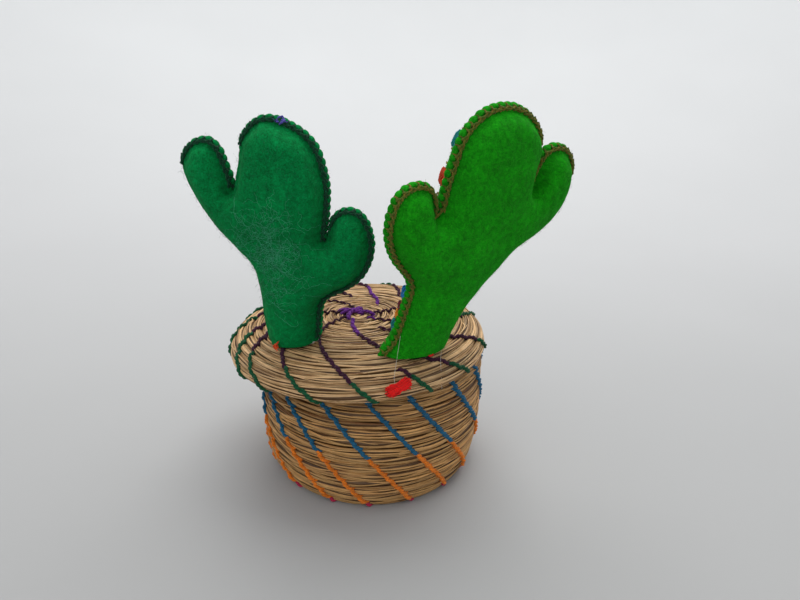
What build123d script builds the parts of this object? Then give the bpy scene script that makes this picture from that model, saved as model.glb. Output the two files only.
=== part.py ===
from build123d import *
import math
import os

# ---------------------------------------------------------------------------
# Small lidded basket of coiled dry grass, bound with coloured yarn, with two
# stuffed felt cacti glued upright on its loose lid.
# Millimetres, +Z up, front towards -Y. The origin is the middle of the flat
# underside, so the basket stands on z = 0.
# ---------------------------------------------------------------------------

# --- driving dimensions: coils ----------------------------------------------
COIL_D = 3.4              # thickness of one coil of grass
ROW_R = COIL_D / 2        # half a coil
VALLEY = 1.15             # half thickness of the wall between two coils

# --- driving dimensions: basket body ----------------------------------------
FLOOR_ROWS = 10           # coils of the floor round its middle button
FLOOR_EDGE_R = 34.3       # where the floor meets the first coil of the wall
WALL_ROWS = [             # centre of each wall coil: radius, height
    (36.0, 1.7), (37.8, 4.6), (38.8, 7.9), (39.45, 11.3), (39.9, 14.7),
    (40.2, 18.1), (40.45, 21.5), (40.5, 24.9), (40.45, 28.3), (40.35, 31.7),
    (40.2, 35.1), (40.1, 38.5), (39.95, 41.9), (39.8, 45.3),
    (36.9, 48.0), (36.5, 50.6),      # the neck that the lid covers
]
WALL_VISIBLE_TOP = 13     # index of the last coil below the lid

# --- driving dimensions: lid -------------------------------------------------
LID_SHIFT_X = -5.5        # the lid sits off centre
LID_TILT = 2.9            # degrees, its -X side is lower
LID_DATUM_Z = 47.0        # height of the lid's own base plane
LID_SURFACE = [           # outer surface of the lid: radius, height over datum
    (0.0, 11.6), (12.0, 11.55), (24.0, 11.2), (34.0, 10.6), (40.0, 9.6),
    (44.4, 7.8), (47.1, 5.2), (48.0, 2.4), (47.6, 0.0),
]
LID_PITCH = 3.45          # coil to coil along the surface
LID_TOP_ROWS = 10         # last coil of the flat top, counted from the middle
LID_ROWS = 15             # last coil of the rim

# --- driving dimensions: yarn binding ---------------------------------------
YARN_D = 1.6              # thickness of the binding yarn
WALL_LINES = 16           # lines of stitches round the wall
WALL_LINE_PHASE = -96.0   # angle of the first line at WALL_LINE_Z
WALL_LINE_Z = 27.0
WALL_LINE_SLOPE = 1.15    # degrees round per mm down the wall
STITCH_LEN = 4.0          # visible length of one stitch

# Lines of stitches on the lid: distance from the middle along the surface,
# angle. The second half of them starts part way out.
LID_LINES = [
    [(5, 160), (13, 168), (20, 180), (30, 196), (35.2, 205), (47, 219), (54, 233)],
    [(26, 213), (35.5, 226), (46.5, 243), (54, 257)],
    [(6, 212), (16.5, 225), (28.2, 245), (40.6, 262), (48.5, 271), (54, 279)],
    [(39, 285), (43.5, 290), (49, 296), (54, 302)],
    [(5, 252), (8.4, 257), (18.8, 273), (30, 286), (38, 298), (42.9, 307), (54, 325)],
    [(14, 299), (20.6, 305), (30, 316), (38, 329), (46.9, 341), (54, 349)],
    [(5, 315), (8.9, 321), (13.7, 328), (20, 336), (30, 348), (38, 359), (47, 372), (54, 381)],
    [(30, 371), (38, 382), (47, 395), (54, 404)],
    [(5, 364), (13, 376), (20, 384), (30, 395), (38, 405), (47, 418), (54, 427)],
    [(26, 412), (38, 428), (47, 441), (54, 450)],
    [(5, 404), (12.4, 415), (32.2, 443), (38, 450), (47, 463), (54, 472)],
    [(20, 460), (27.6, 471), (38, 484), (47, 496), (54, 505)],
    [(5, 464), (10.8, 473), (20.3, 489), (30, 500), (38, 509), (47, 521), (54, 530)],
    [(24, 512), (38, 531), (47, 544), (54, 553)],
    [(33, 547), (38, 553), (47, 566), (54, 577)],
]
PURPLE_TO = 19.0          # distance from the middle where purple yarn ends
PLUM_TO = 43.5            # and where the dark plum yarn ends; green follows

# --- driving dimensions: felt cacti -----------------------------------------
FELT_T = 1.2              # one layer of felt
SEAM_W = 2.2              # width of the flat sewn edge
STITCH_PITCH = 2.35       # blanket stitches along the edge
STITCH_D = 0.8
GLUE_T = 0.6              # glue under each foot

# Edge of each cactus as cut from felt: across, up, from the left foot round.
DARK_EDGE = [
    (-9.2, -5.0), (7.4, -5.0), (7.9, 0.3), (8.7, 6.5), (9.4, 11.3),
    (10.6, 15.6), (16.0, 18.4), (20.9, 20.7), (25.3, 25.2), (27.6, 30.8),
    (28.2, 35.0), (27.5, 40.3), (25.2, 44.9), (21.4, 46.5), (17.3, 45.2),
    (15.1, 42.0), (13.5, 36.6), (12.6, 35.3), (12.9, 38.4), (14.3, 44.3),
    (15.0, 50.0), (15.1, 55.5), (14.1, 60.9), (12.4, 66.2), (9.0, 69.9),
    (4.9, 72.4), (0.8, 74.0), (-3.5, 74.0), (-7.0, 72.0), (-10.0, 68.4),
    (-11.2, 64.7), (-12.3, 59.9), (-13.4, 56.6), (-15.0, 51.0),
    (-14.9, 55.5), (-15.3, 57.2), (-16.7, 63.2), (-18.3, 66.9),
    (-20.9, 68.2), (-24.4, 67.7), (-27.6, 65.4), (-29.7, 62.1),
    (-30.1, 58.8), (-29.1, 54.4), (-27.1, 49.2), (-24.5, 44.0),
    (-21.2, 38.6), (-17.1, 33.8), (-13.5, 30.2), (-11.5, 26.4),
    (-10.9, 22.0), (-10.4, 16.7), (-10.6, 10.0), (-10.2, 3.2),
]
LIGHT_EDGE = [
    (-12.6, -5.0), (-11.4, -1.3), (-9.5, 1.6), (-9.0, 4.5), (-9.6, 10.6),
    (-10.5, 17.9), (-10.9, 22.5), (-13.2, 26.0), (-19.3, 29.7),
    (-23.5, 33.3), (-26.7, 38.0), (-28.3, 42.8), (-28.7, 47.1),
    (-28.4, 50.4), (-26.3, 53.3), (-23.6, 54.9), (-20.3, 55.3),
    (-17.2, 53.7), (-14.9, 50.4), (-12.9, 46.4), (-12.6, 50.6),
    (-14.0, 54.9), (-14.7, 59.7), (-15.2, 64.4), (-15.9, 69.5),
    (-14.7, 74.4), (-11.9, 78.9), (-7.9, 81.5), (-3.8, 82.9), (1.3, 83.0),
    (6.4, 81.5), (10.3, 79.2), (12.9, 76.0), (13.6, 73.0), (13.9, 67.0),
    (16.3, 60.6), (15.2, 67.0), (15.6, 72.6), (17.6, 75.7), (21.2, 77.2),
    (25.7, 76.5), (29.6, 73.5), (32.0, 69.2), (32.9, 64.3), (32.6, 59.1),
    (31.0, 54.3), (28.4, 49.6), (24.7, 46.0), (20.4, 43.4), (18.0, 39.0),
    (16.2, 33.8), (14.0, 29.1), (12.2, 23.7), (11.5, 19.1), (11.3, 13.4),
    (11.6, 7.6), (11.4, 2.4), (11.0, -5.0),
]
# Stuffed trunk: half width, height. Arms: knee points and radius.
DARK_TRUNK = [(7.6, -6.0), (7.9, 4.0), (8.3, 14.0), (9.6, 26.0), (11.2, 38.0),
              (12.6, 50.0), (12.3, 59.0), (9.4, 67.0), (5.0, 71.0)]
DARK_TRUNK_X = -0.3
DARK_TRUNK_TOP = 72.0
DARK_ARMS = [
    ([(1.0, 20.0), (18.6, 28.6), (20.9, 39.4)], 5.4),
    ([(-3.0, 32.0), (-17.5, 45.0), (-22.6, 60.4)], 5.4),
]
LIGHT_TRUNK = [(8.6, -6.0), (8.4, 4.0), (8.9, 14.0), (9.9, 26.0), (11.0, 38.0),
               (12.0, 50.0), (13.2, 62.0), (12.2, 71.0), (8.2, 78.0), (4.4, 80.2)]
LIGHT_TRUNK_X = -0.6
LIGHT_TRUNK_TOP = 81.0
LIGHT_ARMS = [
    ([(-2.0, 29.0), (-19.0, 36.6), (-21.3, 47.6)], 5.6),
    ([(2.0, 36.5), (20.6, 49.6), (23.9, 67.8)], 6.0),
]
DEPTH_RATIO = 0.66        # thickness of the stuffed trunk against its width
STUFF_GAP = 0.1           # clearance round the stuffing

# Where each cactus stands: foot point, turn, forward lean, sideways lean.
DARK_STAND = ((-26.5, -21.0, 57.3), -8.0, 5.0, -3.0)
LIGHT_STAND = ((12.5, -29.5, 58.2), 28.0, 13.0, 15.0)

os.makedirs("parts", exist_ok=True)


# --- small geometry helpers --------------------------------------------------
def offset_row_profile(rows, half, valley, first_cap, last_cap):
    """Closed outline of a row of touching coils: a list of arcs.

    rows are the coil centres in order. Returns (outer arcs, inner arcs), each
    arc as three points, outer from the first coil to the last and inner back.
    """
    n = len(rows)
    normals = []
    for i in range(n):
        a = rows[max(i - 1, 0)]
        b = rows[min(i + 1, n - 1)]
        dx, dz = b[0] - a[0], b[1] - a[1]
        m = math.hypot(dx, dz)
        normals.append((dz / m, -dx / m))
    outer_v, inner_v = [], []
    for i in range(n + 1):
        if i == 0:
            t = (-normals[0][1], normals[0][0])
            c = (rows[0][0] - t[0] * first_cap, rows[0][1] - t[1] * first_cap)
            nn = normals[0]
        elif i == n:
            t = (-normals[-1][1], normals[-1][0])
            c = (rows[-1][0] + t[0] * last_cap, rows[-1][1] + t[1] * last_cap)
            nn = normals[-1]
        else:
            c = ((rows[i - 1][0] + rows[i][0]) / 2, (rows[i - 1][1] + rows[i][1]) / 2)
            nn = ((normals[i - 1][0] + normals[i][0]) / 2,
                  (normals[i - 1][1] + normals[i][1]) / 2)
            m = math.hypot(*nn)
            nn = (nn[0] / m, nn[1] / m)
        outer_v.append((c[0] + nn[0] * valley, c[1] + nn[1] * valley))
        inner_v.append((c[0] - nn[0] * valley, c[1] - nn[1] * valley))
    outer = [(outer_v[i],
              (rows[i][0] + normals[i][0] * half, rows[i][1] + normals[i][1] * half),
              outer_v[i + 1]) for i in range(n)]
    inner = [(inner_v[i + 1],
              (rows[i][0] - normals[i][0] * half, rows[i][1] - normals[i][1] * half),
              inner_v[i]) for i in reversed(range(n))]
    return outer, inner


def dome_middle(apex_z, edge, height):
    """Middle point of an arc whose centre is on the axis: apex to edge."""
    ball = (edge[0] ** 2 + height ** 2) / (2 * abs(height))
    half = math.asin(edge[0] / ball) / 2
    side = 1 if height > 0 else -1
    return (ball * math.sin(half), apex_z - side * ball * (1 - math.cos(half)))


def resample(points, step):
    """Points every `step` along a polyline."""
    out = []
    for (x0, y0), (x1, y1) in zip(points, points[1:]):
        n = max(1, int(math.hypot(x1 - x0, y1 - y0) / step))
        out += [(x0 + (x1 - x0) * i / n, y0 + (y1 - y0) * i / n) for i in range(n)]
    return out + [points[-1]]


def smooth(points, rounds=2):
    """Corner cutting that keeps the two ends."""
    for _ in range(rounds):
        new = [points[0]]
        for (x0, y0), (x1, y1) in zip(points, points[1:]):
            new.append((x0 * 0.75 + x1 * 0.25, y0 * 0.75 + y1 * 0.25))
            new.append((x0 * 0.25 + x1 * 0.75, y0 * 0.25 + y1 * 0.75))
        new.append(points[-1])
        points = new
    return points


LID_CURVE = resample(smooth(LID_SURFACE), 0.1)
LID_LENGTH = [0.0]
for _a, _b in zip(LID_CURVE, LID_CURVE[1:]):
    LID_LENGTH.append(LID_LENGTH[-1] + math.hypot(_b[0] - _a[0], _b[1] - _a[1]))


def lid_at(length):
    """Point and outward normal of the lid's surface at a distance from its middle."""
    length = min(max(length, 0.0), LID_LENGTH[-1])
    i = max(1, next((k for k, v in enumerate(LID_LENGTH) if v >= length), len(LID_LENGTH) - 1))
    f = (length - LID_LENGTH[i - 1]) / max(LID_LENGTH[i] - LID_LENGTH[i - 1], 1e-9)
    a, b = LID_CURVE[i - 1], LID_CURVE[i]
    lo, hi = LID_CURVE[max(i - 12, 0)], LID_CURVE[min(i + 12, len(LID_CURVE) - 1)]
    dx, dz = hi[0] - lo[0], hi[1] - lo[1]
    m = math.hypot(dx, dz)
    return (a[0] + (b[0] - a[0]) * f, a[1] + (b[1] - a[1]) * f), (-dz / m, dx / m)


def interpolate(table, x):
    """Straight interpolation in a table of (x, y)."""
    for (x0, y0), (x1, y1) in zip(table, table[1:]):
        if x <= x1:
            return y0 + (y1 - y0) * (x - x0) / (x1 - x0)
    (x0, y0), (x1, y1) = table[-2], table[-1]
    return y1 + (y1 - y0) * (x - x1) / (x1 - x0)


def round_point(radius, angle, z):
    a = math.radians(angle)
    return Vector(radius * math.cos(a), radius * math.sin(a), z)


def stitch_plane(p, q):
    """Plane at the middle of a stitch, its Z along the stitch."""
    return Plane(origin=(p + q) * 0.5, z_dir=(q - p).normalized())


# --- planes ------------------------------------------------------------------
lid_plane = Plane.XY.offset(LID_DATUM_Z).move(Location((LID_SHIFT_X, 0, 0)))
lid_plane = lid_plane.rotated((0, -LID_TILT, 0))
lid_profile_plane = Plane(origin=lid_plane.origin, x_dir=lid_plane.x_dir,
                          z_dir=-lid_plane.y_dir)
lid_axis = Axis(lid_plane.origin, lid_plane.z_dir)


def stand_plane(stand):
    """Plane of a cactus: X across it, Y up it, Z out of its plain face."""
    foot, turn, lean, roll = stand
    y, l, r = (math.radians(v) for v in (turn, lean, roll))
    n = Vector(math.sin(y), -math.cos(y), 0)
    t = Vector(math.cos(y), math.sin(y), 0)
    k = Vector(0, 0, 1)
    k2 = k * math.cos(l) + n * math.sin(l)
    n2 = n * math.cos(l) - k * math.sin(l)
    t3 = t * math.cos(r) - k2 * math.sin(r)
    return Plane(origin=foot, x_dir=t3, z_dir=n2)


dark_plane = stand_plane(DARK_STAND)
light_plane = stand_plane(LIGHT_STAND)


def lid_top_z(x, y):
    """Height of the lid's top surface over a point of the floor plan."""
    c, s = math.cos(math.radians(LID_TILT)), math.sin(math.radians(LID_TILT))
    dx = (x - LID_SHIFT_X) / c
    r = math.hypot(dx, y)
    h = interpolate(LID_SURFACE, r) if r < 48 else 0
    return LID_DATUM_Z + h * c + (x - LID_SHIFT_X) * s


def foot_plane(stand, gap):
    """The lid's surface under a cactus, raised by the glue."""
    foot = stand[0]
    z = lid_top_z(foot[0], foot[1]) + gap
    return Plane(origin=(foot[0], foot[1], z), z_dir=lid_plane.z_dir)


# ============================================================================
# Body: basket
# ============================================================================

# Floor: a flat spiral of grass coils, pressed flat underneath.
with BuildPart() as basket_floor_coil:
    with BuildSketch(Plane.XZ):
        with BuildLine():
            Line((0, 0), (FLOOR_EDGE_R, 0))
            Line((FLOOR_EDGE_R, 0), (FLOOR_EDGE_R, 2.85))
            previous = (FLOOR_EDGE_R, 2.85)
            for row in range(FLOOR_ROWS, 0, -1):
                inner = (COIL_D * (row - 0.5) * FLOOR_EDGE_R / (COIL_D * (FLOOR_ROWS + 0.5)), 2.85)
                middle = ((previous[0] + inner[0]) / 2, 3.4)
                ThreePointArc(previous, middle, inner)
                previous = inner
            ThreePointArc(previous, dome_middle(3.4, previous, 0.55), (0, 3.4))
            Line((0, 3.4), (0, 0))
        make_face()
    revolve(axis=Axis.Z)
basket_floor_coil.part.label = "basket_floor_coil"

# Wall: stacked coils, bulging slightly. The narrower neck under the lid is
# the last two coils, in a node of its own.
wall_outer, wall_inner = offset_row_profile(WALL_ROWS, ROW_R, VALLEY, 1.35, 1.35)
NECK_ROWS = len(WALL_ROWS) - 1 - WALL_VISIBLE_TOP

with BuildPart() as basket_wall_coil:
    with BuildSketch(Plane.XZ):
        with BuildLine():
            for a, b, c in wall_outer[:-NECK_ROWS]:
                ThreePointArc(a, b, c)
            Line(wall_outer[-NECK_ROWS][0], wall_inner[NECK_ROWS][0])
            for a, b, c in wall_inner[NECK_ROWS:]:
                ThreePointArc(a, b, c)
            foot_inner, foot_outer = wall_inner[-1][2], wall_outer[0][0]
            ThreePointArc(foot_inner, (WALL_ROWS[0][0], 0.0), foot_outer)
        make_face()
    revolve(axis=Axis.Z)
basket_wall_coil.part.label = "basket_wall_coil"

with BuildPart() as basket_neck_coil:
    with BuildSketch(Plane.XZ):
        with BuildLine():
            for a, b, c in wall_outer[-NECK_ROWS:]:
                ThreePointArc(a, b, c)
            top_outer, top_inner = wall_outer[-1][2], wall_inner[0][0]
            ThreePointArc(top_outer,
                          ((top_outer[0] + top_inner[0]) / 2, WALL_ROWS[-1][1] + ROW_R),
                          top_inner)
            for a, b, c in wall_inner[:NECK_ROWS]:
                ThreePointArc(a, b, c)
            Line(wall_inner[NECK_ROWS][0], wall_outer[-NECK_ROWS][0])
        make_face()
    revolve(axis=Axis.Z)
basket_neck_coil.part.label = "basket_neck_coil"


def wall_stitches(rows):
    """Planes of the stitches that cross from each listed coil to the next."""
    planes = []
    for line in range(WALL_LINES):
        for i in rows:
            (r0, z0), (r1, z1) = WALL_ROWS[i], WALL_ROWS[i + 1]
            ends = []
            for r, z in ((r0, z0), (r1, z1)):
                angle = WALL_LINE_PHASE + 360 / WALL_LINES * line + WALL_LINE_SLOPE * (WALL_LINE_Z - z)
                ends.append(round_point(r + ROW_R - 0.1, angle, z))
            planes.append(stitch_plane(*ends))
    return planes


with BuildPart() as basket_pink_stitches:
    with Locations(*[p.location for p in wall_stitches([0])]):
        Cylinder(radius=YARN_D / 2, height=2.6)
basket_pink_stitches.part.label = "basket_pink_stitches"

with BuildPart() as basket_orange_stitches:
    with Locations(*[p.location for p in wall_stitches(range(1, 7))]):
        Cylinder(radius=YARN_D / 2, height=STITCH_LEN)
basket_orange_stitches.part.label = "basket_orange_stitches"

with BuildPart() as basket_blue_stitches:
    with Locations(*[p.location for p in wall_stitches(range(7, WALL_VISIBLE_TOP))]):
        Cylinder(radius=YARN_D / 2, height=STITCH_LEN)
basket_blue_stitches.part.label = "basket_blue_stitches"

# ============================================================================
# Body: lid
# ============================================================================


def lid_rows(first, last):
    rows = []
    for i in range(first, last + 1):
        (r, z), (nx, nz) = lid_at(i * LID_PITCH)
        rows.append((r - nx * ROW_R, z - nz * ROW_R))
    return rows


ALL_LID_ROWS = lid_rows(1, LID_ROWS)
lid_outer, lid_inner = offset_row_profile(ALL_LID_ROWS, ROW_R, VALLEY, 1.7, 1.35)
# The coils run outwards and down, so their outer side is the second list.
lid_upper = [(c, b, a) for a, b, c in reversed(lid_inner)]
lid_lower = [(c, b, a) for a, b, c in reversed(lid_outer)]

with BuildPart() as lid_top_coil:
    with BuildSketch(lid_profile_plane):
        with BuildLine():
            button_z = lid_at(0)[0][1]
            start = lid_upper[0][0]
            ThreePointArc((0, button_z), dome_middle(button_z, start, button_z - start[1]), start)
            for a, b, c in lid_upper[:LID_TOP_ROWS]:
                ThreePointArc(a, b, c)
            Line(lid_upper[LID_TOP_ROWS - 1][2], lid_lower[-LID_TOP_ROWS][0])
            for a, b, c in lid_lower[-LID_TOP_ROWS:]:
                ThreePointArc(a, b, c)
            end = lid_lower[-1][2]
            belly_z = 2 * (button_z - ROW_R) - button_z
            ThreePointArc(end, dome_middle(belly_z, end, belly_z - end[1]), (0, belly_z))
            Line((0, belly_z), (0, button_z))
        make_face()
    revolve(axis=lid_axis)
lid_top_coil.part.label = "lid_top_coil"

with BuildPart() as lid_rim_coil:
    with BuildSketch(lid_profile_plane):
        with BuildLine():
            for a, b, c in lid_upper[LID_TOP_ROWS:]:
                ThreePointArc(a, b, c)
            hem_out, hem_in = lid_upper[-1][2], lid_lower[0][0]
            ThreePointArc(hem_out, ((hem_out[0] + hem_in[0]) / 2, hem_in[1] - 0.35), hem_in)
            for a, b, c in lid_lower[:-LID_TOP_ROWS]:
                ThreePointArc(a, b, c)
            Line(lid_lower[-LID_TOP_ROWS][0], lid_upper[LID_TOP_ROWS][0])
        make_face()
    revolve(axis=lid_axis)
lid_rim_coil.part.label = "lid_rim_coil"


def lid_stitches(low, high):
    """Planes of the lid's stitches whose middle is between two distances."""
    planes = []
    for table in LID_LINES:
        for i in range(1, LID_ROWS):
            l0, l1 = i * LID_PITCH, (i + 1) * LID_PITCH
            if l0 < table[0][0] - 0.5 or not low <= (l0 + l1) / 2 < high:
                continue
            ends = []
            for length in (l0, l1):
                (r, z), (nx, nz) = lid_at(length)
                p = round_point(r - nx * 0.1, interpolate(table, length), z - nz * 0.1)
                ends.append(lid_plane.from_local_coords(p))
            planes.append(stitch_plane(*ends))
    return planes


with BuildPart() as lid_purple_stitches:
    with Locations(*[p.location for p in lid_stitches(0, PURPLE_TO)]):
        Cylinder(radius=YARN_D / 2, height=3.1)
lid_purple_stitches.part.label = "lid_purple_stitches"

with BuildPart() as lid_plum_stitches:
    with Locations(*[p.location for p in lid_stitches(PURPLE_TO, PLUM_TO)]):
        Cylinder(radius=YARN_D / 2, height=3.3)
lid_plum_stitches.part.label = "lid_plum_stitches"

with BuildPart() as lid_green_stitches:
    with Locations(*[p.location for p in lid_stitches(PLUM_TO, 99)]):
        Cylinder(radius=YARN_D / 2, height=STITCH_LEN)
lid_green_stitches.part.label = "lid_green_stitches"

# ============================================================================
# The two cacti
# ============================================================================


def stuffed_form(trunk, trunk_x, trunk_top, arms, shrink):
    """Trunk and two arms in the cactus's own frame, X across, Y up, Z out."""
    crown = shrink * 0.6
    sections = [(r - shrink, y) for r, y in trunk[:-1]]
    sections.append((trunk[-1][0] - crown, trunk[-1][1] - crown))
    sections.append(((trunk[-1][0] - crown) * 0.45, trunk_top - shrink))
    with BuildPart() as form:
        for r, y in sections:
            with BuildSketch(Plane(origin=(trunk_x, y, 0), x_dir=(1, 0, 0), z_dir=(0, 1, 0))):
                Ellipse(r, r * DEPTH_RATIO)
        loft(ruled=True)
        for points, radius in arms:
            r = radius - shrink
            with BuildLine(mode=Mode.PRIVATE) as arm_path:
                FilletPolyline(*points, radius=radius + 2.5)
            with BuildSketch(Plane(origin=arm_path.line @ 0, z_dir=arm_path.line % 0)):
                Circle(r)
            sweep(path=arm_path.line)
            with Locations(arm_path.line @ 1):
                Sphere(r)
    return form.part


def felt_panels(edge, body, hollow, plane, cut):
    """The two felt skins of one cactus, front and back, sewn at mid plane."""
    with BuildPart() as skin:
        with BuildSketch(Plane.XY):
            with BuildLine():
                Polyline(*edge, close=True)
            make_face()
        extrude(amount=FELT_T, both=True)
        add(body)
        add(hollow, mode=Mode.SUBTRACT)
    panels = []
    for keep in (Keep.TOP, Keep.BOTTOM):
        with BuildPart() as half:
            add(skin.part)
            split(bisect_by=Plane.XY, keep=keep)
        with BuildPart() as placed:
            add(half.part.moved(plane.location))
            split(bisect_by=cut, keep=Keep.TOP)
        panels.append(placed.part)
    return panels


def along_edge(edge, pitch, inset, low):
    """Points just inside the cut edge, one for each blanket stitch."""
    closed = edge + [edge[0]]
    total = sum(math.dist(a, b) for a, b in zip(closed, closed[1:]))
    count = int(total / pitch)
    step = total / count
    points, walked, target = [], 0.0, step / 2
    for a, b in zip(closed, closed[1:]):
        d = math.dist(a, b)
        while target <= walked + d:
            f = (target - walked) / d
            tx, ty = (b[0] - a[0]) / d, (b[1] - a[1]) / d
            x, y = a[0] + (b[0] - a[0]) * f, a[1] + (b[1] - a[1]) * f
            points.append((x, y, tx, ty))
            target += step
        walked += d
    area = sum(a[0] * b[1] - b[0] * a[1] for a, b in zip(closed, closed[1:]))
    turn = 1 if area > 0 else -1
    return [(x - ty * inset * turn, y + tx * inset * turn)
            for x, y, tx, ty in points if y > low]


dark_cut = foot_plane(DARK_STAND, GLUE_T)
light_cut = foot_plane(LIGHT_STAND, GLUE_T)

dark_body = stuffed_form(DARK_TRUNK, DARK_TRUNK_X, DARK_TRUNK_TOP, DARK_ARMS, 0.0)
dark_hollow = stuffed_form(DARK_TRUNK, DARK_TRUNK_X, DARK_TRUNK_TOP, DARK_ARMS, FELT_T)
dark_fill = stuffed_form(DARK_TRUNK, DARK_TRUNK_X, DARK_TRUNK_TOP, DARK_ARMS, FELT_T + STUFF_GAP)
light_body = stuffed_form(LIGHT_TRUNK, LIGHT_TRUNK_X, LIGHT_TRUNK_TOP, LIGHT_ARMS, 0.0)
light_hollow = stuffed_form(LIGHT_TRUNK, LIGHT_TRUNK_X, LIGHT_TRUNK_TOP, LIGHT_ARMS, FELT_T)
light_fill = stuffed_form(LIGHT_TRUNK, LIGHT_TRUNK_X, LIGHT_TRUNK_TOP, LIGHT_ARMS, FELT_T + STUFF_GAP)

dark_front, dark_back = felt_panels(DARK_EDGE, dark_body, dark_hollow, dark_plane, dark_cut)
light_front, light_back = felt_panels(LIGHT_EDGE, light_body, light_hollow, light_plane, light_cut)

with BuildPart() as dark_cactus_plain_panel:
    add(dark_front)
dark_cactus_plain_panel.part.label = "dark_cactus_plain_panel"

with BuildPart() as dark_cactus_embroidered_panel:
    add(dark_back)
dark_cactus_embroidered_panel.part.label = "dark_cactus_embroidered_panel"

with BuildPart() as dark_cactus_stuffing:
    add(dark_fill.moved(dark_plane.location))
    split(bisect_by=dark_cut.offset(0.2), keep=Keep.TOP)
dark_cactus_stuffing.part.label = "dark_cactus_stuffing"

with BuildPart() as light_cactus_plain_panel:
    add(light_front)
light_cactus_plain_panel.part.label = "light_cactus_plain_panel"

with BuildPart() as light_cactus_embroidered_panel:
    add(light_back)
light_cactus_embroidered_panel.part.label = "light_cactus_embroidered_panel"

with BuildPart() as light_cactus_stuffing:
    add(light_fill.moved(light_plane.location))
    split(bisect_by=light_cut.offset(0.2), keep=Keep.TOP)
light_cactus_stuffing.part.label = "light_cactus_stuffing"

# Blanket stitches through the flat sewn edge.
with BuildPart() as dark_cactus_edge_stitches:
    with Locations(*[(dark_plane * Location((x, y, 0)))
                     for x, y in along_edge(DARK_EDGE, STITCH_PITCH, 0.9, 2.0)]):
        Cylinder(radius=STITCH_D / 2, height=2 * FELT_T + 0.9)
dark_cactus_edge_stitches.part.label = "dark_cactus_edge_stitches"

with BuildPart() as light_cactus_edge_stitches:
    with Locations(*[(light_plane * Location((x, y, 0)))
                     for x, y in along_edge(LIGHT_EDGE, STITCH_PITCH, 0.9, 5.0)]):
        Cylinder(radius=STITCH_D / 2, height=2 * FELT_T + 0.9)
light_cactus_edge_stitches.part.label = "light_cactus_edge_stitches"


# Embroidered flowers on the faces turned away: round knots in rings.
def flower(x, y, back, ring, petals):
    """Knot centres of one flower on the back of a cactus."""
    points = [(x, y, -back)]
    for i in range(petals):
        a = 2 * math.pi * i / petals
        points.append((x + ring * math.cos(a), y + ring * math.sin(a), -back + 0.25))
    return points


with BuildPart() as dark_cactus_embroidery:
    with Locations(*[(dark_plane * Location(p)) for p in
                     flower(-0.3, 18.0, 5.5, 3.0, 6) + flower(-0.3, 34.0, 7.1, 3.4, 7)
                     + flower(-0.3, 51.0, 8.2, 3.6, 8)]):
        Sphere(1.1)
dark_cactus_embroidery.part.label = "dark_cactus_embroidery"

with BuildPart() as light_cactus_embroidery:
    with Locations(*[(light_plane * Location(p)) for p in
                     flower(-0.6, 20.0, 6.1, 3.0, 6) + flower(-0.6, 38.0, 7.2, 3.4, 7)
                     + flower(-0.6, 58.0, 8.4, 3.8, 8)]):
        Sphere(1.1)
light_cactus_embroidery.part.label = "light_cactus_embroidery"

# Yarn knots, tails included.
with BuildPart() as dark_cactus_top_knot:
    with Locations(dark_plane * Location((-1.6, 74.6, 0.0))):
        Sphere(1.5)
    with Locations(dark_plane * Location((-0.6, 75.9, 0.6), (50, 30, 0)),
                   dark_plane * Location((-2.7, 75.7, -0.6), (70, -40, 0))):
        Cylinder(radius=0.55, height=3.4)
dark_cactus_top_knot.part.label = "dark_cactus_top_knot"

with BuildPart() as dark_cactus_foot_knot:
    with Locations((-32.2, -26.5, 56.7)):
        Sphere(1.25)
    with Locations(Location((-31.2, -27.0, 56.6), (20, 70, 0))):
        Cylinder(radius=0.5, height=3.6)
dark_cactus_foot_knot.part.label = "dark_cactus_foot_knot"

with BuildPart() as light_cactus_foot_thread:
    with Locations(Location((13.6, -36.6, 58.95), (0, 82, 12))):
        Cylinder(radius=0.5, height=8.0)
light_cactus_foot_thread.part.label = "light_cactus_foot_thread"

# Glue under each foot.
dark_pad_plane = foot_plane(DARK_STAND, -0.6)
light_pad_plane = foot_plane(LIGHT_STAND, -0.6)

with BuildPart() as dark_cactus_glue:
    with BuildSketch(Plane(origin=dark_pad_plane.origin, z_dir=dark_pad_plane.z_dir,
                           x_dir=(math.cos(math.radians(DARK_STAND[1])),
                                  math.sin(math.radians(DARK_STAND[1])), 0))):
        Ellipse(9.4, 6.2)
    extrude(amount=1.3)
dark_cactus_glue.part.label = "dark_cactus_glue"

with BuildPart() as light_cactus_glue:
    with BuildSketch(Plane(origin=light_pad_plane.origin, z_dir=light_pad_plane.z_dir,
                           x_dir=(math.cos(math.radians(LIGHT_STAND[1])),
                                  math.sin(math.radians(LIGHT_STAND[1])), 0))):
        Ellipse(9.8, 6.6)
    extrude(amount=1.3)
light_cactus_glue.part.label = "light_cactus_glue"

# Short tuft of red yarn knotted into the rim.
(_tr, _tz), (_tnx, _tnz) = lid_at(48.5)
tuft_angle = -70.5
tuft_middle = lid_plane.from_local_coords(round_point(_tr + _tnx * 0.5, tuft_angle, _tz + _tnz * 0.5))
tuft_side = Vector(-math.sin(math.radians(tuft_angle)), math.cos(math.radians(tuft_angle)), 0)
tuft_dir = (tuft_side * 0.93 + Vector(0, 0, 1) * 0.36).normalized()

with BuildPart() as red_yarn_tuft:
    with Locations(Plane(origin=tuft_middle, z_dir=tuft_dir).location):
        Cylinder(radius=1.3, height=5.0)
    with Locations(Plane(origin=tuft_middle + tuft_dir * 2.6, z_dir=tuft_dir + Vector(0, -0.25, 0.1)).location,
                   Plane(origin=tuft_middle - tuft_dir * 2.6, z_dir=tuft_dir + Vector(0, 0.2, 0.1)).location):
        Cylinder(radius=0.75, height=4.4)
red_yarn_tuft.part.label = "red_yarn_tuft"

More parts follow.
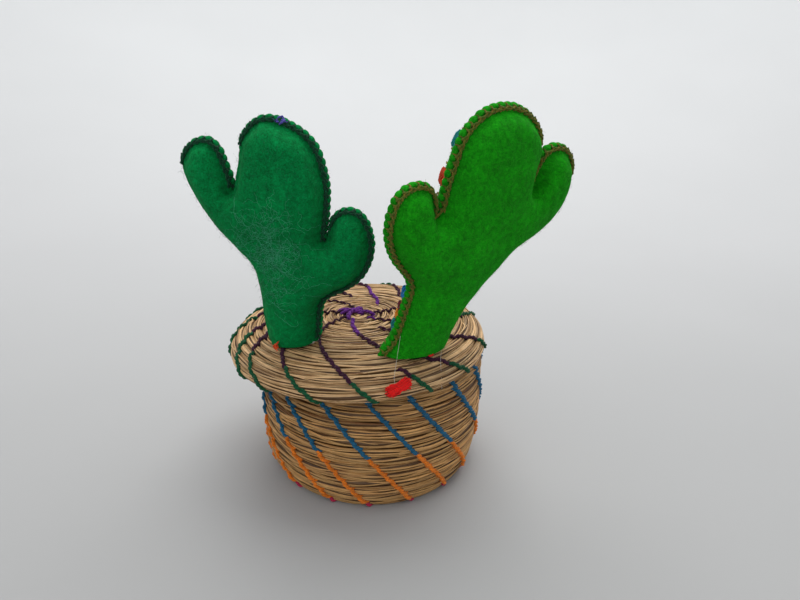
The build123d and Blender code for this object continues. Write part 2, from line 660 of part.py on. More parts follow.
# --- export ------------------------------------------------------------------
for piece in [
    basket_floor_coil, basket_wall_coil, basket_neck_coil,
    basket_pink_stitches, basket_orange_stitches, basket_blue_stitches,
    lid_top_coil, lid_rim_coil, lid_purple_stitches, lid_plum_stitches,
    lid_green_stitches,
    dark_cactus_plain_panel, dark_cactus_embroidered_panel,
    dark_cactus_stuffing, dark_cactus_edge_stitches, dark_cactus_embroidery,
    dark_cactus_top_knot, dark_cactus_foot_knot, dark_cactus_glue,
    light_cactus_plain_panel, light_cactus_embroidered_panel,
    light_cactus_stuffing, light_cactus_edge_stitches,
    light_cactus_embroidery, light_cactus_foot_thread, light_cactus_glue,
    red_yarn_tuft,
]:
    export_step(piece.part, f"parts/{piece.part.label}.step")
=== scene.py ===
import math
import bpy
import numpy as np
from mathutils import Vector, Matrix
from mathutils.bvhtree import BVHTree
from mathutils.geometry import delaunay_2d_cdt


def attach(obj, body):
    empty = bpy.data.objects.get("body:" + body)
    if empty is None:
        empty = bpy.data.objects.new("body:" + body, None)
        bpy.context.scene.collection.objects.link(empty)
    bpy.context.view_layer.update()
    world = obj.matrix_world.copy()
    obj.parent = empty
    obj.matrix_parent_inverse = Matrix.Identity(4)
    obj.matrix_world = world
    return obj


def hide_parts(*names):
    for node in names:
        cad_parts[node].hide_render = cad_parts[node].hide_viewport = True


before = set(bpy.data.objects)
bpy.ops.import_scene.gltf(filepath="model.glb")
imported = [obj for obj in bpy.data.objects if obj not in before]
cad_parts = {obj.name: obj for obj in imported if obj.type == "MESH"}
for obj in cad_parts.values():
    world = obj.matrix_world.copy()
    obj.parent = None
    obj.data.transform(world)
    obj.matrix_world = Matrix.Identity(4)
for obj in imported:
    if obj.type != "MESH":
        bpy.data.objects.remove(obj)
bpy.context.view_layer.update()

rng = np.random.default_rng(11)
MM = 0.001
scene = bpy.context.scene

# ---------------------------------------------------------------------------
# Dimensions of the frame, in millimetres
# ---------------------------------------------------------------------------
COIL = 3.4
ROW = COIL / 2
WALL_ROWS = [
    (36.0, 1.7), (37.8, 4.6), (38.8, 7.9), (39.45, 11.3), (39.9, 14.7),
    (40.2, 18.1), (40.45, 21.5), (40.5, 24.9), (40.45, 28.3), (40.35, 31.7),
    (40.2, 35.1), (40.1, 38.5), (39.95, 41.9), (39.8, 45.3),
    (36.9, 48.0), (36.5, 50.6),
]
LID_SURFACE = [
    (0.0, 11.6), (12.0, 11.55), (24.0, 11.2), (34.0, 10.6), (40.0, 9.6),
    (44.4, 7.8), (47.1, 5.2), (48.0, 2.4), (47.6, 0.0),
]
LID_PITCH = 3.45
LID_ORIGIN = np.array([-5.5, 0.0, 47.0])
LID_TILT = math.radians(2.9)
LX = np.array([math.cos(LID_TILT), 0, math.sin(LID_TILT)])
LY = np.array([0, 1.0, 0])
LZ = np.array([-math.sin(LID_TILT), 0, math.cos(LID_TILT)])
LID_LINES = [
    [(5, 160), (13, 168), (20, 180), (30, 196), (35.2, 205), (47, 219), (54, 233)],
    [(26, 213), (35.5, 226), (46.5, 243), (54, 257)],
    [(6, 212), (16.5, 225), (28.2, 245), (40.6, 262), (48.5, 271), (54, 279)],
    [(39, 285), (43.5, 290), (49, 296), (54, 302)],
    [(5, 252), (8.4, 257), (18.8, 273), (30, 286), (38, 298), (42.9, 307), (54, 325)],
    [(14, 299), (20.6, 305), (30, 316), (38, 329), (46.9, 341), (54, 349)],
    [(5, 315), (8.9, 321), (13.7, 328), (20, 336), (30, 348), (38, 359), (47, 372), (54, 381)],
    [(30, 371), (38, 382), (47, 395), (54, 404)],
    [(5, 364), (13, 376), (20, 384), (30, 395), (38, 405), (47, 418), (54, 427)],
    [(26, 412), (38, 428), (47, 441), (54, 450)],
    [(5, 404), (12.4, 415), (22.1, 438), (32.2, 444), (38, 450), (47, 463), (54, 472)],
    [(20, 460), (27.6, 471), (38, 484), (47, 496), (54, 505)],
    [(5, 464), (10.8, 473), (20.3, 489), (30, 500), (38, 509), (47, 521), (54, 530)],
    [(24, 512), (38, 531), (47, 544), (54, 553)],
    [(33, 547), (38, 553), (47, 566), (54, 577)],
]
DARK_EDGE = [
    (-9.2, -5.0), (7.4, -5.0), (7.9, 0.3), (8.7, 6.5), (9.4, 11.3),
    (10.6, 15.6), (16.0, 18.4), (20.9, 20.7), (25.3, 25.2), (27.6, 30.8),
    (28.2, 35.0), (27.5, 40.3), (25.2, 44.9), (21.4, 46.5), (17.3, 45.2),
    (15.1, 42.0), (13.5, 36.6), (12.6, 35.3), (12.9, 38.4), (14.3, 44.3),
    (15.0, 50.0), (15.1, 55.5), (14.1, 60.9), (12.4, 66.2), (9.0, 69.9),
    (4.9, 72.4), (0.8, 74.0), (-3.5, 74.0), (-7.0, 72.0), (-10.0, 68.4),
    (-11.2, 64.7), (-12.3, 59.9), (-13.4, 56.6), (-15.0, 51.0),
    (-14.9, 55.5), (-15.3, 57.2), (-16.7, 63.2), (-18.3, 66.9),
    (-20.9, 68.2), (-24.4, 67.7), (-27.6, 65.4), (-29.7, 62.1),
    (-30.1, 58.8), (-29.1, 54.4), (-27.1, 49.2), (-24.5, 44.0),
    (-21.2, 38.6), (-17.1, 33.8), (-13.5, 30.2), (-11.5, 26.4),
    (-10.9, 22.0), (-10.4, 16.7), (-10.6, 10.0), (-10.2, 3.2),
]
LIGHT_EDGE = [
    (-12.6, -5.0), (-11.4, -1.3), (-9.5, 1.6), (-9.0, 4.5), (-9.6, 10.6),
    (-10.5, 17.9), (-10.9, 22.5), (-13.2, 26.0), (-19.3, 29.7),
    (-23.5, 33.3), (-26.7, 38.0), (-28.3, 42.8), (-28.7, 47.1),
    (-28.4, 50.4), (-26.3, 53.3), (-23.6, 54.9), (-20.3, 55.3),
    (-17.2, 53.7), (-14.9, 50.4), (-12.9, 46.4), (-12.6, 50.6),
    (-14.0, 54.9), (-14.7, 59.7), (-15.2, 64.4), (-15.9, 69.5),
    (-14.7, 74.4), (-11.9, 78.9), (-7.9, 81.5), (-3.8, 82.9), (1.3, 83.0),
    (6.4, 81.5), (10.3, 79.2), (12.9, 76.0), (13.6, 73.0), (13.9, 67.0),
    (16.3, 60.6), (15.2, 67.0), (15.6, 72.6), (17.6, 75.7), (21.2, 77.2),
    (25.7, 76.5), (29.6, 73.5), (32.0, 69.2), (32.9, 64.3), (32.6, 59.1),
    (31.0, 54.3), (28.4, 49.6), (24.7, 46.0), (20.4, 43.4), (18.0, 39.0),
    (16.2, 33.8), (14.0, 29.1), (12.2, 23.7), (11.5, 19.1), (11.3, 13.4),
    (11.6, 7.6), (11.4, 2.4), (11.0, -5.0),
]
DARK_STAND = ((-26.5, -21.0, 57.3), -8.0, 5.0, -3.0)
LIGHT_STAND = ((12.5, -29.5, 58.2), 28.0, 13.0, 15.0)


# ---------------------------------------------------------------------------
# Mesh helpers
# ---------------------------------------------------------------------------
def unit(v):
    return v / np.maximum(np.linalg.norm(v, axis=-1, keepdims=True), 1e-12)


class Strands:
    """Many tubes in one mesh, each with its own colour and strip of UV."""

    def __init__(self):
        self.parts = []

    def tube(self, pts, ra, rb=None, normal=None, sides=6, color=(1, 1, 1), closed=False, twist=None, shade=None):
        pts = np.asarray(pts, float)
        n = len(pts)
        if closed:
            tan = np.roll(pts, -1, 0) - np.roll(pts, 1, 0)
        else:
            tan = np.gradient(pts, axis=0)
        tan = unit(tan)
        if normal is None:
            ref = np.array([0.31, 0.17, 0.93])
            normal = np.tile(ref, (n, 1))
        normal = np.asarray(normal, float)
        nn = unit(normal - (normal * tan).sum(1, keepdims=True) * tan)
        bb = np.cross(tan, nn)
        ra = np.broadcast_to(np.asarray(ra, float), (n,))[:, None]
        rb = ra if rb is None else np.broadcast_to(np.asarray(rb, float), (n,))[:, None]
        ang = np.arange(sides) * 2 * math.pi / sides + math.pi / sides
        tw = np.zeros(n) if twist is None else np.asarray(twist)
        verts = []
        for a in ang:
            ca, sa = np.cos(a + tw)[:, None], np.sin(a + tw)[:, None]
            verts.append(pts + bb * ra * ca + nn * rb * sa)
        v = np.stack(verts, 1).reshape(-1, 3)
        length = float(np.linalg.norm(np.diff(pts, axis=0), axis=1).sum())
        col = np.tile(np.asarray(color, float), (n, 1))
        if shade is not None:
            col = col * np.asarray(shade)[:, None]
        self.parts.append((v, n, sides, closed, length, float(2 * math.pi * ra.mean()), np.repeat(col, sides, 0)))

    def make(self, name, material):
        total = len(self.parts)
        L = max(p[4] for p in self.parts)
        P = max(p[5] for p in self.parts)
        cols = max(1, int(round(math.sqrt(total * P / L))))
        rows = int(math.ceil(total / cols))
        V, F, UV, C = [], [], [], []
        base = 0
        for k, (v, n, s, closed, length, per, col) in enumerate(self.parts):
            V.append(v)
            C.append(col)
            m = n if closed else n - 1
            i = np.arange(m)[:, None]
            j = np.arange(s)[None, :]
            i2 = (i + 1) % n
            j2 = (j + 1) % s
            q = np.stack([i * s + j, i2 * s + j, i2 * s + j2, i * s + j2], -1).reshape(-1, 4) + base
            F.append(q)
            cx, cy = k % cols, k // cols
            u0, u1 = (cx + 0.03) / cols, (cx + 0.97) / cols
            v0, v1 = (cy + 0.06) / rows, (cy + 0.94) / rows
            ua = u0 + (u1 - u0) * (i + 0 * j) / m
            ub = u0 + (u1 - u0) * (i + 1 + 0 * j) / m
            va = v0 + (v1 - v0) * (j + 0 * i) / s
            vb = v0 + (v1 - v0) * (j + 1 + 0 * i) / s
            UV.append(np.stack([np.stack([ua, va], -1), np.stack([ub, va], -1),
                                np.stack([ub, vb], -1), np.stack([ua, vb], -1)], -2).reshape(-1, 2))
            base += len(v)
        V = np.concatenate(V) * MM
        F = np.concatenate(F)
        UV = np.concatenate(UV)
        C = np.concatenate(C)
        me = bpy.data.meshes.new(name)
        me.vertices.add(len(V))
        me.vertices.foreach_set("co", V.astype(np.float32).ravel())
        me.loops.add(len(F) * 4)
        me.loops.foreach_set("vertex_index", F.astype(np.int32).ravel())
        me.polygons.add(len(F))
        me.polygons.foreach_set("loop_start", (np.arange(len(F)) * 4).astype(np.int32))
        me.update(calc_edges=True)
        me.validate()
        uv = me.uv_layers.new(name="OFBake")
        uv.data.foreach_set("uv", UV.astype(np.float32).ravel())
        at = me.color_attributes.new("tint", "FLOAT_COLOR", "POINT")
        rgba = np.concatenate([C, np.ones((len(C), 1))], 1)
        at.data.foreach_set("color", rgba.astype(np.float32).ravel())
        me.shade_smooth()
        ob = bpy.data.objects.new(name, me)
        scene.collection.objects.link(ob)
        me.materials.append(material)
        return ob


def twisted(strands, pts, normal, r, plies=2, pitch=3.0, color=(1, 1, 1), ply=None, sides=6, vary=0.12, phase=0.0):
    """A yarn of twisted plies along a path."""
    pts = np.asarray(pts, float)
    d = np.concatenate([[0], np.cumsum(np.linalg.norm(np.diff(pts, axis=0), axis=1))])
    n = max(4, int(d[-1] / 0.45))
    t = np.linspace(0, d[-1], n)
    p = np.stack([np.interp(t, d, pts[:, k]) for k in range(3)], 1)
    nr = np.asarray(normal, float)
    if nr.ndim == 1:
        nr = np.tile(nr, (len(pts), 1))
    nn = np.stack([np.interp(t, d, nr[:, k]) for k in range(3)], 1)
    tan = unit(np.gradient(p, axis=0))
    nn = unit(nn - (nn * tan).sum(1, keepdims=True) * tan)
    bb = np.cross(tan, nn)
    pr = r * (0.56 if ply is None else ply)
    off = r - pr
    for k in range(plies):
        a = (t / pitch * 2 * math.pi + 2 * math.pi * k / plies + phase)[:, None]
        c = np.asarray(color) * (1 + rng.uniform(-vary, vary))
        strands.tube(p + (np.cos(a) * bb + np.sin(a) * nn) * off, pr, normal=nn, sides=sides, color=c)


# ---------------------------------------------------------------------------
# Materials
# ---------------------------------------------------------------------------
def material(name):
    m = bpy.data.materials.new(name)
    m.use_nodes = True
    nt = m.node_tree
    b = nt.nodes["Principled BSDF"]
    return m, nt, b


def node(nt, kind, **values):
    n = nt.nodes.new(kind)
    for k, v in values.items():
        setattr(n, k, v)
    return n


def noise(nt, vector, scale, detail=3.0, rough=0.55):
    n = node(nt, "ShaderNodeTexNoise")
    n.inputs["Scale"].default_value = scale
    n.inputs["Detail"].default_value = detail
    n.inputs["Roughness"].default_value = rough
    nt.links.new(vector, n.inputs["Vector"])
    return n.outputs["Fac"]


def ramp(nt, fac, stops):
    r = node(nt, "ShaderNodeValToRGB")
    e = r.color_ramp.elements
    while len(e) < len(stops):
        e.new(0.5)
    for el, (p, c) in zip(e, stops):
        el.position = p
        el.color = (*c, 1) if len(c) == 3 else c
    nt.links.new(fac, r.inputs["Fac"])
    return r.outputs["Color"]


def mix(nt, kind, fac, a, b):
    m = node(nt, "ShaderNodeMix", data_type="RGBA", blend_type=kind)
    m.inputs[0].default_value = fac
    nt.links.new(a, m.inputs[6])
    nt.links.new(b, m.inputs[7])
    return m.outputs[2]


def bump(nt, bsdf, height, strength, distance):
    b = node(nt, "ShaderNodeBump")
    b.inputs["Strength"].default_value = strength
    b.inputs["Distance"].default_value = distance
    nt.links.new(height, b.inputs["Height"])
    nt.links.new(b.outputs["Normal"], bsdf.inputs["Normal"])


def grass_material():
    """Split dry grass: long streaks, paler and darker blades, faint sheen."""
    m, nt, b = material("dry_grass")
    at = node(nt, "ShaderNodeAttribute", attribute_name="tint")
    uv = node(nt, "ShaderNodeUVMap", uv_map="OFBake")
    mp = node(nt, "ShaderNodeMapping")
    mp.inputs["Scale"].default_value = (60, 900, 1)
    nt.links.new(uv.outputs["UV"], mp.inputs["Vector"])
    streak = noise(nt, mp.outputs["Vector"], 1.0, 4.0, 0.6)
    tc = node(nt, "ShaderNodeTexCoord")
    blot = noise(nt, tc.outputs["Object"], 260.0, 3.0)
    c1 = ramp(nt, streak, [(0.28, (0.62, 0.56, 0.50)), (0.5, (0.95, 0.93, 0.9)), (0.75, (1.12, 1.12, 1.1))])
    c2 = ramp(nt, blot, [(0.3, (0.82, 0.76, 0.68)), (0.6, (1.0, 1.0, 1.0))])
    col = mix(nt, "MULTIPLY", 1.0, at.outputs["Color"], c1)
    col = mix(nt, "MULTIPLY", 1.0, col, c2)
    nt.links.new(col, b.inputs["Base Color"])
    rr = node(nt, "ShaderNodeMapRange")
    rr.inputs["To Min"].default_value = 0.34
    rr.inputs["To Max"].default_value = 0.62
    nt.links.new(streak, rr.inputs["Value"])
    nt.links.new(rr.outputs["Result"], b.inputs["Roughness"])
    b.inputs["Specular IOR Level"].default_value = 0.5
    bump(nt, b, streak, 0.6, 0.0002)
    return m


def yarn_material(name, rough=0.85, sheen=0.12):
    """Twisted yarn: the colour comes from the ply, with fine fibre streaks."""
    m, nt, b = material(name)
    at = node(nt, "ShaderNodeAttribute", attribute_name="tint")
    uv = node(nt, "ShaderNodeUVMap", uv_map="OFBake")
    mp = node(nt, "ShaderNodeMapping")
    mp.inputs["Scale"].default_value = (160, 420, 1)
    mp.inputs["Rotation"].default_value = (0, 0, 0.5)
    nt.links.new(uv.outputs["UV"], mp.inputs["Vector"])
    fibre = noise(nt, mp.outputs["Vector"], 1.0, 3.0, 0.7)
    tc = node(nt, "ShaderNodeTexCoord")
    lint = noise(nt, tc.outputs["Object"], 2600.0, 2.0, 0.7)
    c1 = ramp(nt, fibre, [(0.3, (0.6, 0.6, 0.6)), (0.7, (1.15, 1.15, 1.15))])
    c2 = ramp(nt, lint, [(0.35, (0.75, 0.75, 0.75)), (0.7, (1.2, 1.2, 1.2))])
    col = mix(nt, "MULTIPLY", 1.0, at.outputs["Color"], c1)
    col = mix(nt, "MULTIPLY", 1.0, col, c2)
    nt.links.new(col, b.inputs["Base Color"])
    b.inputs["Roughness"].default_value = rough
    b.inputs["Sheen Weight"].default_value = sheen
    b.inputs["Sheen Roughness"].default_value = 0.5
    b.inputs["Specular IOR Level"].default_value = 0.2
    bump(nt, b, fibre, 0.6, 0.0002)
    return m


def felt_material(name, dark, mid, pale, sheen):
    """Pressed wool felt: matted fibres, pills and soft mottling."""
    m, nt, b = material(name)
    tc = node(nt, "ShaderNodeTexCoord")
    ob = tc.outputs["Object"]
    warp = node(nt, "ShaderNodeTexNoise")
    warp.inputs["Scale"].default_value = 420.0
    nt.links.new(ob, warp.inputs["Vector"])
    vm = node(nt, "ShaderNodeVectorMath", operation="SCALE")
    vm.inputs["Scale"].default_value = 0.0022
    nt.links.new(warp.outputs["Color"], vm.inputs[0])
    va = node(nt, "ShaderNodeVectorMath", operation="ADD")
    nt.links.new(ob, va.inputs[0])
    nt.links.new(vm.outputs["Vector"], va.inputs[1])
    fine = noise(nt, va.outputs["Vector"], 2300.0, 5.0, 0.7)
    pill = noise(nt, va.outputs["Vector"], 620.0, 3.0, 0.6)
    broad = noise(nt, ob, 90.0, 2.0, 0.5)
    c1 = ramp(nt, fine, [(0.3, dark), (0.5, mid), (0.72, pale)])
    c2 = ramp(nt, pill, [(0.32, (0.68, 0.68, 0.68)), (0.66, (1.12, 1.12, 1.12))])
    c3 = ramp(nt, broad, [(0.3, (0.84, 0.84, 0.84)), (0.7, (1.10, 1.10, 1.10))])
    col = mix(nt, "MULTIPLY", 1.0, c1, c2)
    col = mix(nt, "MULTIPLY", 1.0, col, c3)
    nt.links.new(col, b.inputs["Base Color"])
    b.inputs["Roughness"].default_value = 0.95
    b.inputs["Sheen Weight"].default_value = sheen
    b.inputs["Sheen Roughness"].default_value = 0.45
    b.inputs["Sheen Tint"].default_value = (*[min(1.0, p * 2.2 + 0.08) for p in pale], 1)
    b.inputs["Specular IOR Level"].default_value = 0.1
    add = node(nt, "ShaderNodeMath", operation="MULTIPLY_ADD")
    add.inputs[1].default_value = 1.4
    nt.links.new(pill, add.inputs[0])
    nt.links.new(fine, add.inputs[2])
    bump(nt, b, add.outputs["Value"], 0.75, 0.00035)
    return m


def glue_material():
    m, nt, b = material("hot_glue")
    tc = node(nt, "ShaderNodeTexCoord")
    cloud = noise(nt, tc.outputs["Object"], 500.0, 2.0)
    c = ramp(nt, cloud, [(0.3, (0.70, 0.68, 0.60)), (0.7, (0.88, 0.87, 0.82))])
    nt.links.new(c, b.inputs["Base Color"])
    b.inputs["Roughness"].default_value = 0.28
    b.inputs["Transmission Weight"].default_value = 0.45
    b.inputs["IOR"].default_value = 1.48
    bump(nt, b, cloud, 0.2, 0.0002)
    return m


GRASS = grass_material()
YARN = yarn_material("binding_yarn")
THREAD = yarn_material("stranded_thread", 0.75, 0.08)
FUZZ = yarn_material("loose_fibre", 0.95, 0.05)
DARK_FELT = felt_material("dark_green_felt", (0.0, 0.115, 0.024), (0.0, 0.225, 0.052), (0.002, 0.33, 0.090), 0.08)
LIGHT_FELT = felt_material("bright_green_felt", (0.002, 0.175, 0.003), (0.008, 0.305, 0.005), (0.022, 0.43, 0.011), 0.08)
GLUE = glue_material()

PINK = (0.62, 0.03, 0.10)
ORANGE = (0.90, 0.24, 0.02)
BLUE = (0.015, 0.14, 0.27)
PURPLE = (0.15, 0.022, 0.27)
PLUM = (0.050, 0.008, 0.032)
GREEN = (0.002, 0.090, 0.032)
RED = (0.98, 0.012, 0.010)


# ---------------------------------------------------------------------------
# Coil rows
# ---------------------------------------------------------------------------
def smooth_line(points, rounds=2):
    for _ in range(rounds):
        new = [points[0]]
        for (x0, y0), (x1, y1) in zip(points, points[1:]):
            new.append((x0 * 0.75 + x1 * 0.25, y0 * 0.75 + y1 * 0.25))
            new.append((x0 * 0.25 + x1 * 0.75, y0 * 0.25 + y1 * 0.75))
        new.append(points[-1])
        points = new
    return points


_c = np.array(smooth_line(LID_SURFACE))
_d = np.concatenate([[0], np.cumsum(np.linalg.norm(np.diff(_c, axis=0), axis=1))])
_s = np.linspace(0, _d[-1], 600)
LID_CURVE = np.stack([np.interp(_s, _d, _c[:, 0]), np.interp(_s, _d, _c[:, 1])], 1)
_g = np.gradient(LID_CURVE, axis=0)
LID_NORMAL = unit(np.stack([-_g[:, 1], _g[:, 0]], 1))


def lid_at(length):
    p = np.array([np.interp(length, _s, LID_CURVE[:, k]) for k in range(2)])
    n = np.array([np.interp(length, _s, LID_NORMAL[:, k]) for k in range(2)])
    return p, n / np.linalg.norm(n)


LID_ROWS = []
for i in range(0, 16):
    p, n = lid_at(i * LID_PITCH)
    LID_ROWS.append((p - n * ROW, n))


def wall_normal(i):
    a = WALL_ROWS[max(i - 1, 0)]
    b = WALL_ROWS[min(i + 1, len(WALL_ROWS) - 1)]
    t = np.array([b[0] - a[0], b[1] - a[1]])
    t = t / np.linalg.norm(t)
    return np.array([t[1], -t[0]])


def to_world(r, ang, z, lid):
    """Cylinder coordinates to the row frame, through the lid's own frame if asked."""
    x, y = r * np.cos(ang), r * np.sin(ang)
    if not lid:
        return np.stack([x, y, z + 0 * x], -1)
    return LID_ORIGIN + x[..., None] * LX + y[..., None] * LY + (z + 0 * x)[..., None] * LZ


def dir_world(nr, ang, nz, lid):
    x, y = nr * np.cos(ang), nr * np.sin(ang)
    if not lid:
        return np.stack([x, y, nz + 0 * x], -1)
    return x[..., None] * LX + y[..., None] * LY + (nz + 0 * x)[..., None] * LZ


TONE = [1.0, 1.0, 1.0]


def blade_colour():
    k = rng.random()
    if k < 0.58:
        base = np.array([0.64, 0.47, 0.285])
    elif k < 0.80:
        base = np.array([0.53, 0.395, 0.235])
    elif k < 0.91:
        base = np.array([0.38, 0.255, 0.135])
    else:
        base = np.array([0.24, 0.135, 0.06])
    return base * rng.uniform(0.80, 1.20) * np.array(TONE)


def wavy(n, closed_turns, amount):
    """Smooth random wander along a blade."""
    t = np.linspace(0, 1, n)
    out = np.zeros(n)
    for _ in range(4):
        out += rng.normal() * np.sin(2 * math.pi * (t * rng.uniform(0.6, 3.2) * closed_turns + rng.random()))
    return out * amount / 2


def coil_row(S, centre, normal, lid, lanes, pins, low_flat=None, step=2.3, core=True, wander=0.30):
    """One coil: blades laid side by side round the ring, over a core coloured dark brown as painted shade in the gaps
    between blades.
    """
    rc, zc = centre
    nr, nz = normal
    tr, tz = nz, -nr
    circ = max(2 * math.pi * rc, 6.0)
    full = max(18, int(circ / step))
    pins = np.radians(np.asarray(pins)) if len(pins) else None
    if core:
        ang = np.linspace(0, 2 * math.pi, max(18, full // 2), endpoint=False)
        # painted shade: the core is coloured dark brown so the gaps between the blades look shaded
        S.tube(to_world(rc + 0 * ang, ang, zc, lid), 1.28, normal=dir_world(nr, ang, nz, lid), sides=7,
               color=(0.13, 0.068, 0.026), closed=True)
    for k in range(lanes):
        base = 2 * math.pi * (k + rng.uniform(-0.25, 0.25)) / lanes
        start = rng.uniform(0, 2 * math.pi)
        left = 2 * math.pi
        while left > 0.02:
            span = min(left, rng.uniform(0.35, 0.75) * 2 * math.pi)
            if left - span < 0.6:
                span = left
            left -= span
            over = min(0.12, 5.0 / max(rc, 1))
            n = max(5, int(full * (span + over) / (2 * math.pi)) + 1)
            ang = start + np.linspace(-over / 2, span + over / 2, n)
            start += span
            pol = base + wavy(n, span / 2, wander)
            depth = ROW * (0.90 + rng.uniform(-0.05, 0.05)) + wavy(n, span / 2, 0.07)
            if pins is not None:
                diff = np.abs((ang[:, None] - pins[None, :] + math.pi) % (2 * math.pi) - math.pi).min(1) * max(rc, 1)
                depth -= 0.20 * np.exp(-(diff / 1.5) ** 2)
            cr, cz = np.cos(pol) * nr + np.sin(pol) * tr, np.cos(pol) * nz + np.sin(pol) * tz
            r = rc + cr * depth
            z = zc + cz * depth
            if low_flat is not None:
                z = np.maximum(z, low_flat)
            width = rng.uniform(0.27, 0.43) * (1 + 0.1 * wavy(n, 1, 0.5))
            ends = np.minimum(1, np.minimum(np.arange(n), np.arange(n)[::-1]) / 2.0 + 0.35)
            S.tube(to_world(r, ang, z, lid), width * ends, 0.2 * ends, normal=dir_world(cr, ang, cz, lid),
                   sides=4, color=blade_colour(), shade=1 + wavy(n, 1, 0.10))


def loose_blades(S, rows, lid, count, height):
    """Thin stray blades that cross the coils on the outside."""
    for _ in range(count):
        i = rng.integers(0, len(rows))
        (rc, zc), (nr, nz) = rows[i]
        tr, tz = nz, -nr
        span = rng.uniform(8, 26) / max(rc, 6)
        n = 12
        ang = rng.uniform(0, 2 * math.pi) + np.linspace(0, span, n)
        pol = rng.uniform(-0.7, 0.7) + np.linspace(0, rng.uniform(-0.9, 0.9), n) + wavy(n, 0.5, 0.15)
        depth = ROW * 1.02 + height * np.sin(np.linspace(0, math.pi, n)) * rng.uniform(0.3, 1)
        cr, cz = np.cos(pol) * nr + np.sin(pol) * tr, np.cos(pol) * nz + np.sin(pol) * tz
        ends = np.minimum(1, np.minimum(np.arange(n), np.arange(n)[::-1]) / 2.5 + 0.2)
        S.tube(to_world(rc + cr * depth, ang, zc + cz * depth, lid), rng.uniform(0.13, 0.27) * ends, 0.1 * ends,
               normal=dir_world(cr, ang, cz, lid), sides=4, color=blade_colour() * 1.05)


def wall_angle(z, line):
    return -96.0 + 22.5 * line + 1.15 * (27.0 - z) + 1.3 * math.sin(line * 2.4)


def lid_angle(table, length):
    t = np.array(table, float)
    if length > t[-1, 0]:
        k = (t[-1, 1] - t[-2, 1]) / (t[-1, 0] - t[-2, 0])
        return float(t[-1, 1] + k * (length - t[-1, 0]))
    return float(np.interp(length, t[:, 0], t[:, 1]))


# basket wall, in two pieces to keep each one light
TONE[:] = [1.06, 0.84, 0.52]
for name, rows in (("basket_wall_grass_low", range(0, 7)), ("basket_wall_grass_high", range(7, 14))):
    S = Strands()
    for i in rows:
        pins = [wall_angle(WALL_ROWS[i][1], k) for k in range(16)]
        coil_row(S, WALL_ROWS[i], wall_normal(i), False, 14, pins, low_flat=0.22 if i == 0 else None, wander=0.34)
    loose_blades(S, [(WALL_ROWS[i], wall_normal(i)) for i in rows], False, 60, 0.3)
    wall = S.make(name, GRASS)
    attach(wall, "basket"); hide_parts("basket_wall_coil")

S = Strands()
for i in range(14, 16):
    coil_row(S, WALL_ROWS[i], wall_normal(i), False, 13, [])
neck = S.make("basket_neck_grass", GRASS)
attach(neck, "basket"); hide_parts("basket_neck_coil")

S = Strands()
for i in range(0, 11):
    r = 3.267 * i
    coil_row(S, (max(r, 0.45), 1.68), (0.0, 1.0), False, 12, [], low_flat=0.2, step=2.6)
floor_grass = S.make("basket_floor_grass", GRASS)
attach(floor_grass, "basket"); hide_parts("basket_floor_coil")

# lid
TONE[:] = [1.16, 1.05, 0.90]
S = Strands()
for i in range(0, 11):
    (c, n) = LID_ROWS[i]
    pins = [lid_angle(t, i * LID_PITCH) for t in LID_LINES if i * LID_PITCH >= t[0][0]]
    coil_row(S, (max(c[0], 0.5), c[1]), (n[0], n[1]), True, 14, pins, step=2.3, wander=0.20)
loose_blades(S, [((max(c[0], 1.0), c[1]), (n[0], n[1])) for c, n in LID_ROWS[3:11]], True, 60, 0.35)
lid_top = S.make("lid_top_grass", GRASS)
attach(lid_top, "lid"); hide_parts("lid_top_coil")

S = Strands()
for i in range(11, 16):
    (c, n) = LID_ROWS[i]
    pins = [lid_angle(t, i * LID_PITCH) for t in LID_LINES if i * LID_PITCH >= t[0][0]]
    coil_row(S, (c[0], c[1]), (n[0], n[1]), True, 15, pins, step=2.3, wander=0.22)
loose_blades(S, [((c[0], c[1]), (n[0], n[1])) for c, n in LID_ROWS[11:16]], True, 70, 0.35)
lid_rim = S.make("lid_rim_grass", GRASS)
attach(lid_rim, "lid"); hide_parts("lid_rim_coil")


# ---------------------------------------------------------------------------
# Binding stitches: one slanted twisted stitch over each coil
# ---------------------------------------------------------------------------
def stitch_over(S, centre, normal, lid, a0, a1, colour, r=0.80, lift=0.18):
    """From the groove before a coil, over it, to the groove after."""
    rc, zc = centre
    nr, nz = normal
    tr, tz = nz, -nr
    s = np.linspace(-1.12, 1.12, 11)
    pol = s * math.radians(74)
    depth = ROW + lift + 0.12 * np.cos(s * 1.2)
    cr, cz = np.cos(pol) * nr + np.sin(pol) * tr, np.cos(pol) * nz + np.sin(pol) * tz
    slant = math.radians(1) * 0
    ang = a0 + (a1 - a0) * (s * 0.5 + 0.5) + slant
    ang = ang + (s * 0.34 + rng.uniform(-0.15, 0.15)) / max(rc, 3)
    pts = to_world(rc + cr * depth, ang, zc + cz * depth, lid)
    nrm = dir_world(cr, ang, cz, lid)
    twisted(S, pts, nrm, r * rng.uniform(0.93, 1.07), plies=2, pitch=3.1, color=colour, phase=rng.uniform(0, 6.28))


PURPLE_TO = {4: 20.0, 10: 34.0, 6: 9.0}
FIRST = {3: 43.0, 10: 13.0}
PLUM_TO = {0: 43.0, 1: 43.0, 4: 48.0, 6: 40.0, 7: 40.0, 8: 40.0, 9: 40.0, 10: 40.0, 11: 40.0, 12: 40.0, 13: 40.0, 14: 40.0}
THIN = {0, 2, 6, 8, 12}


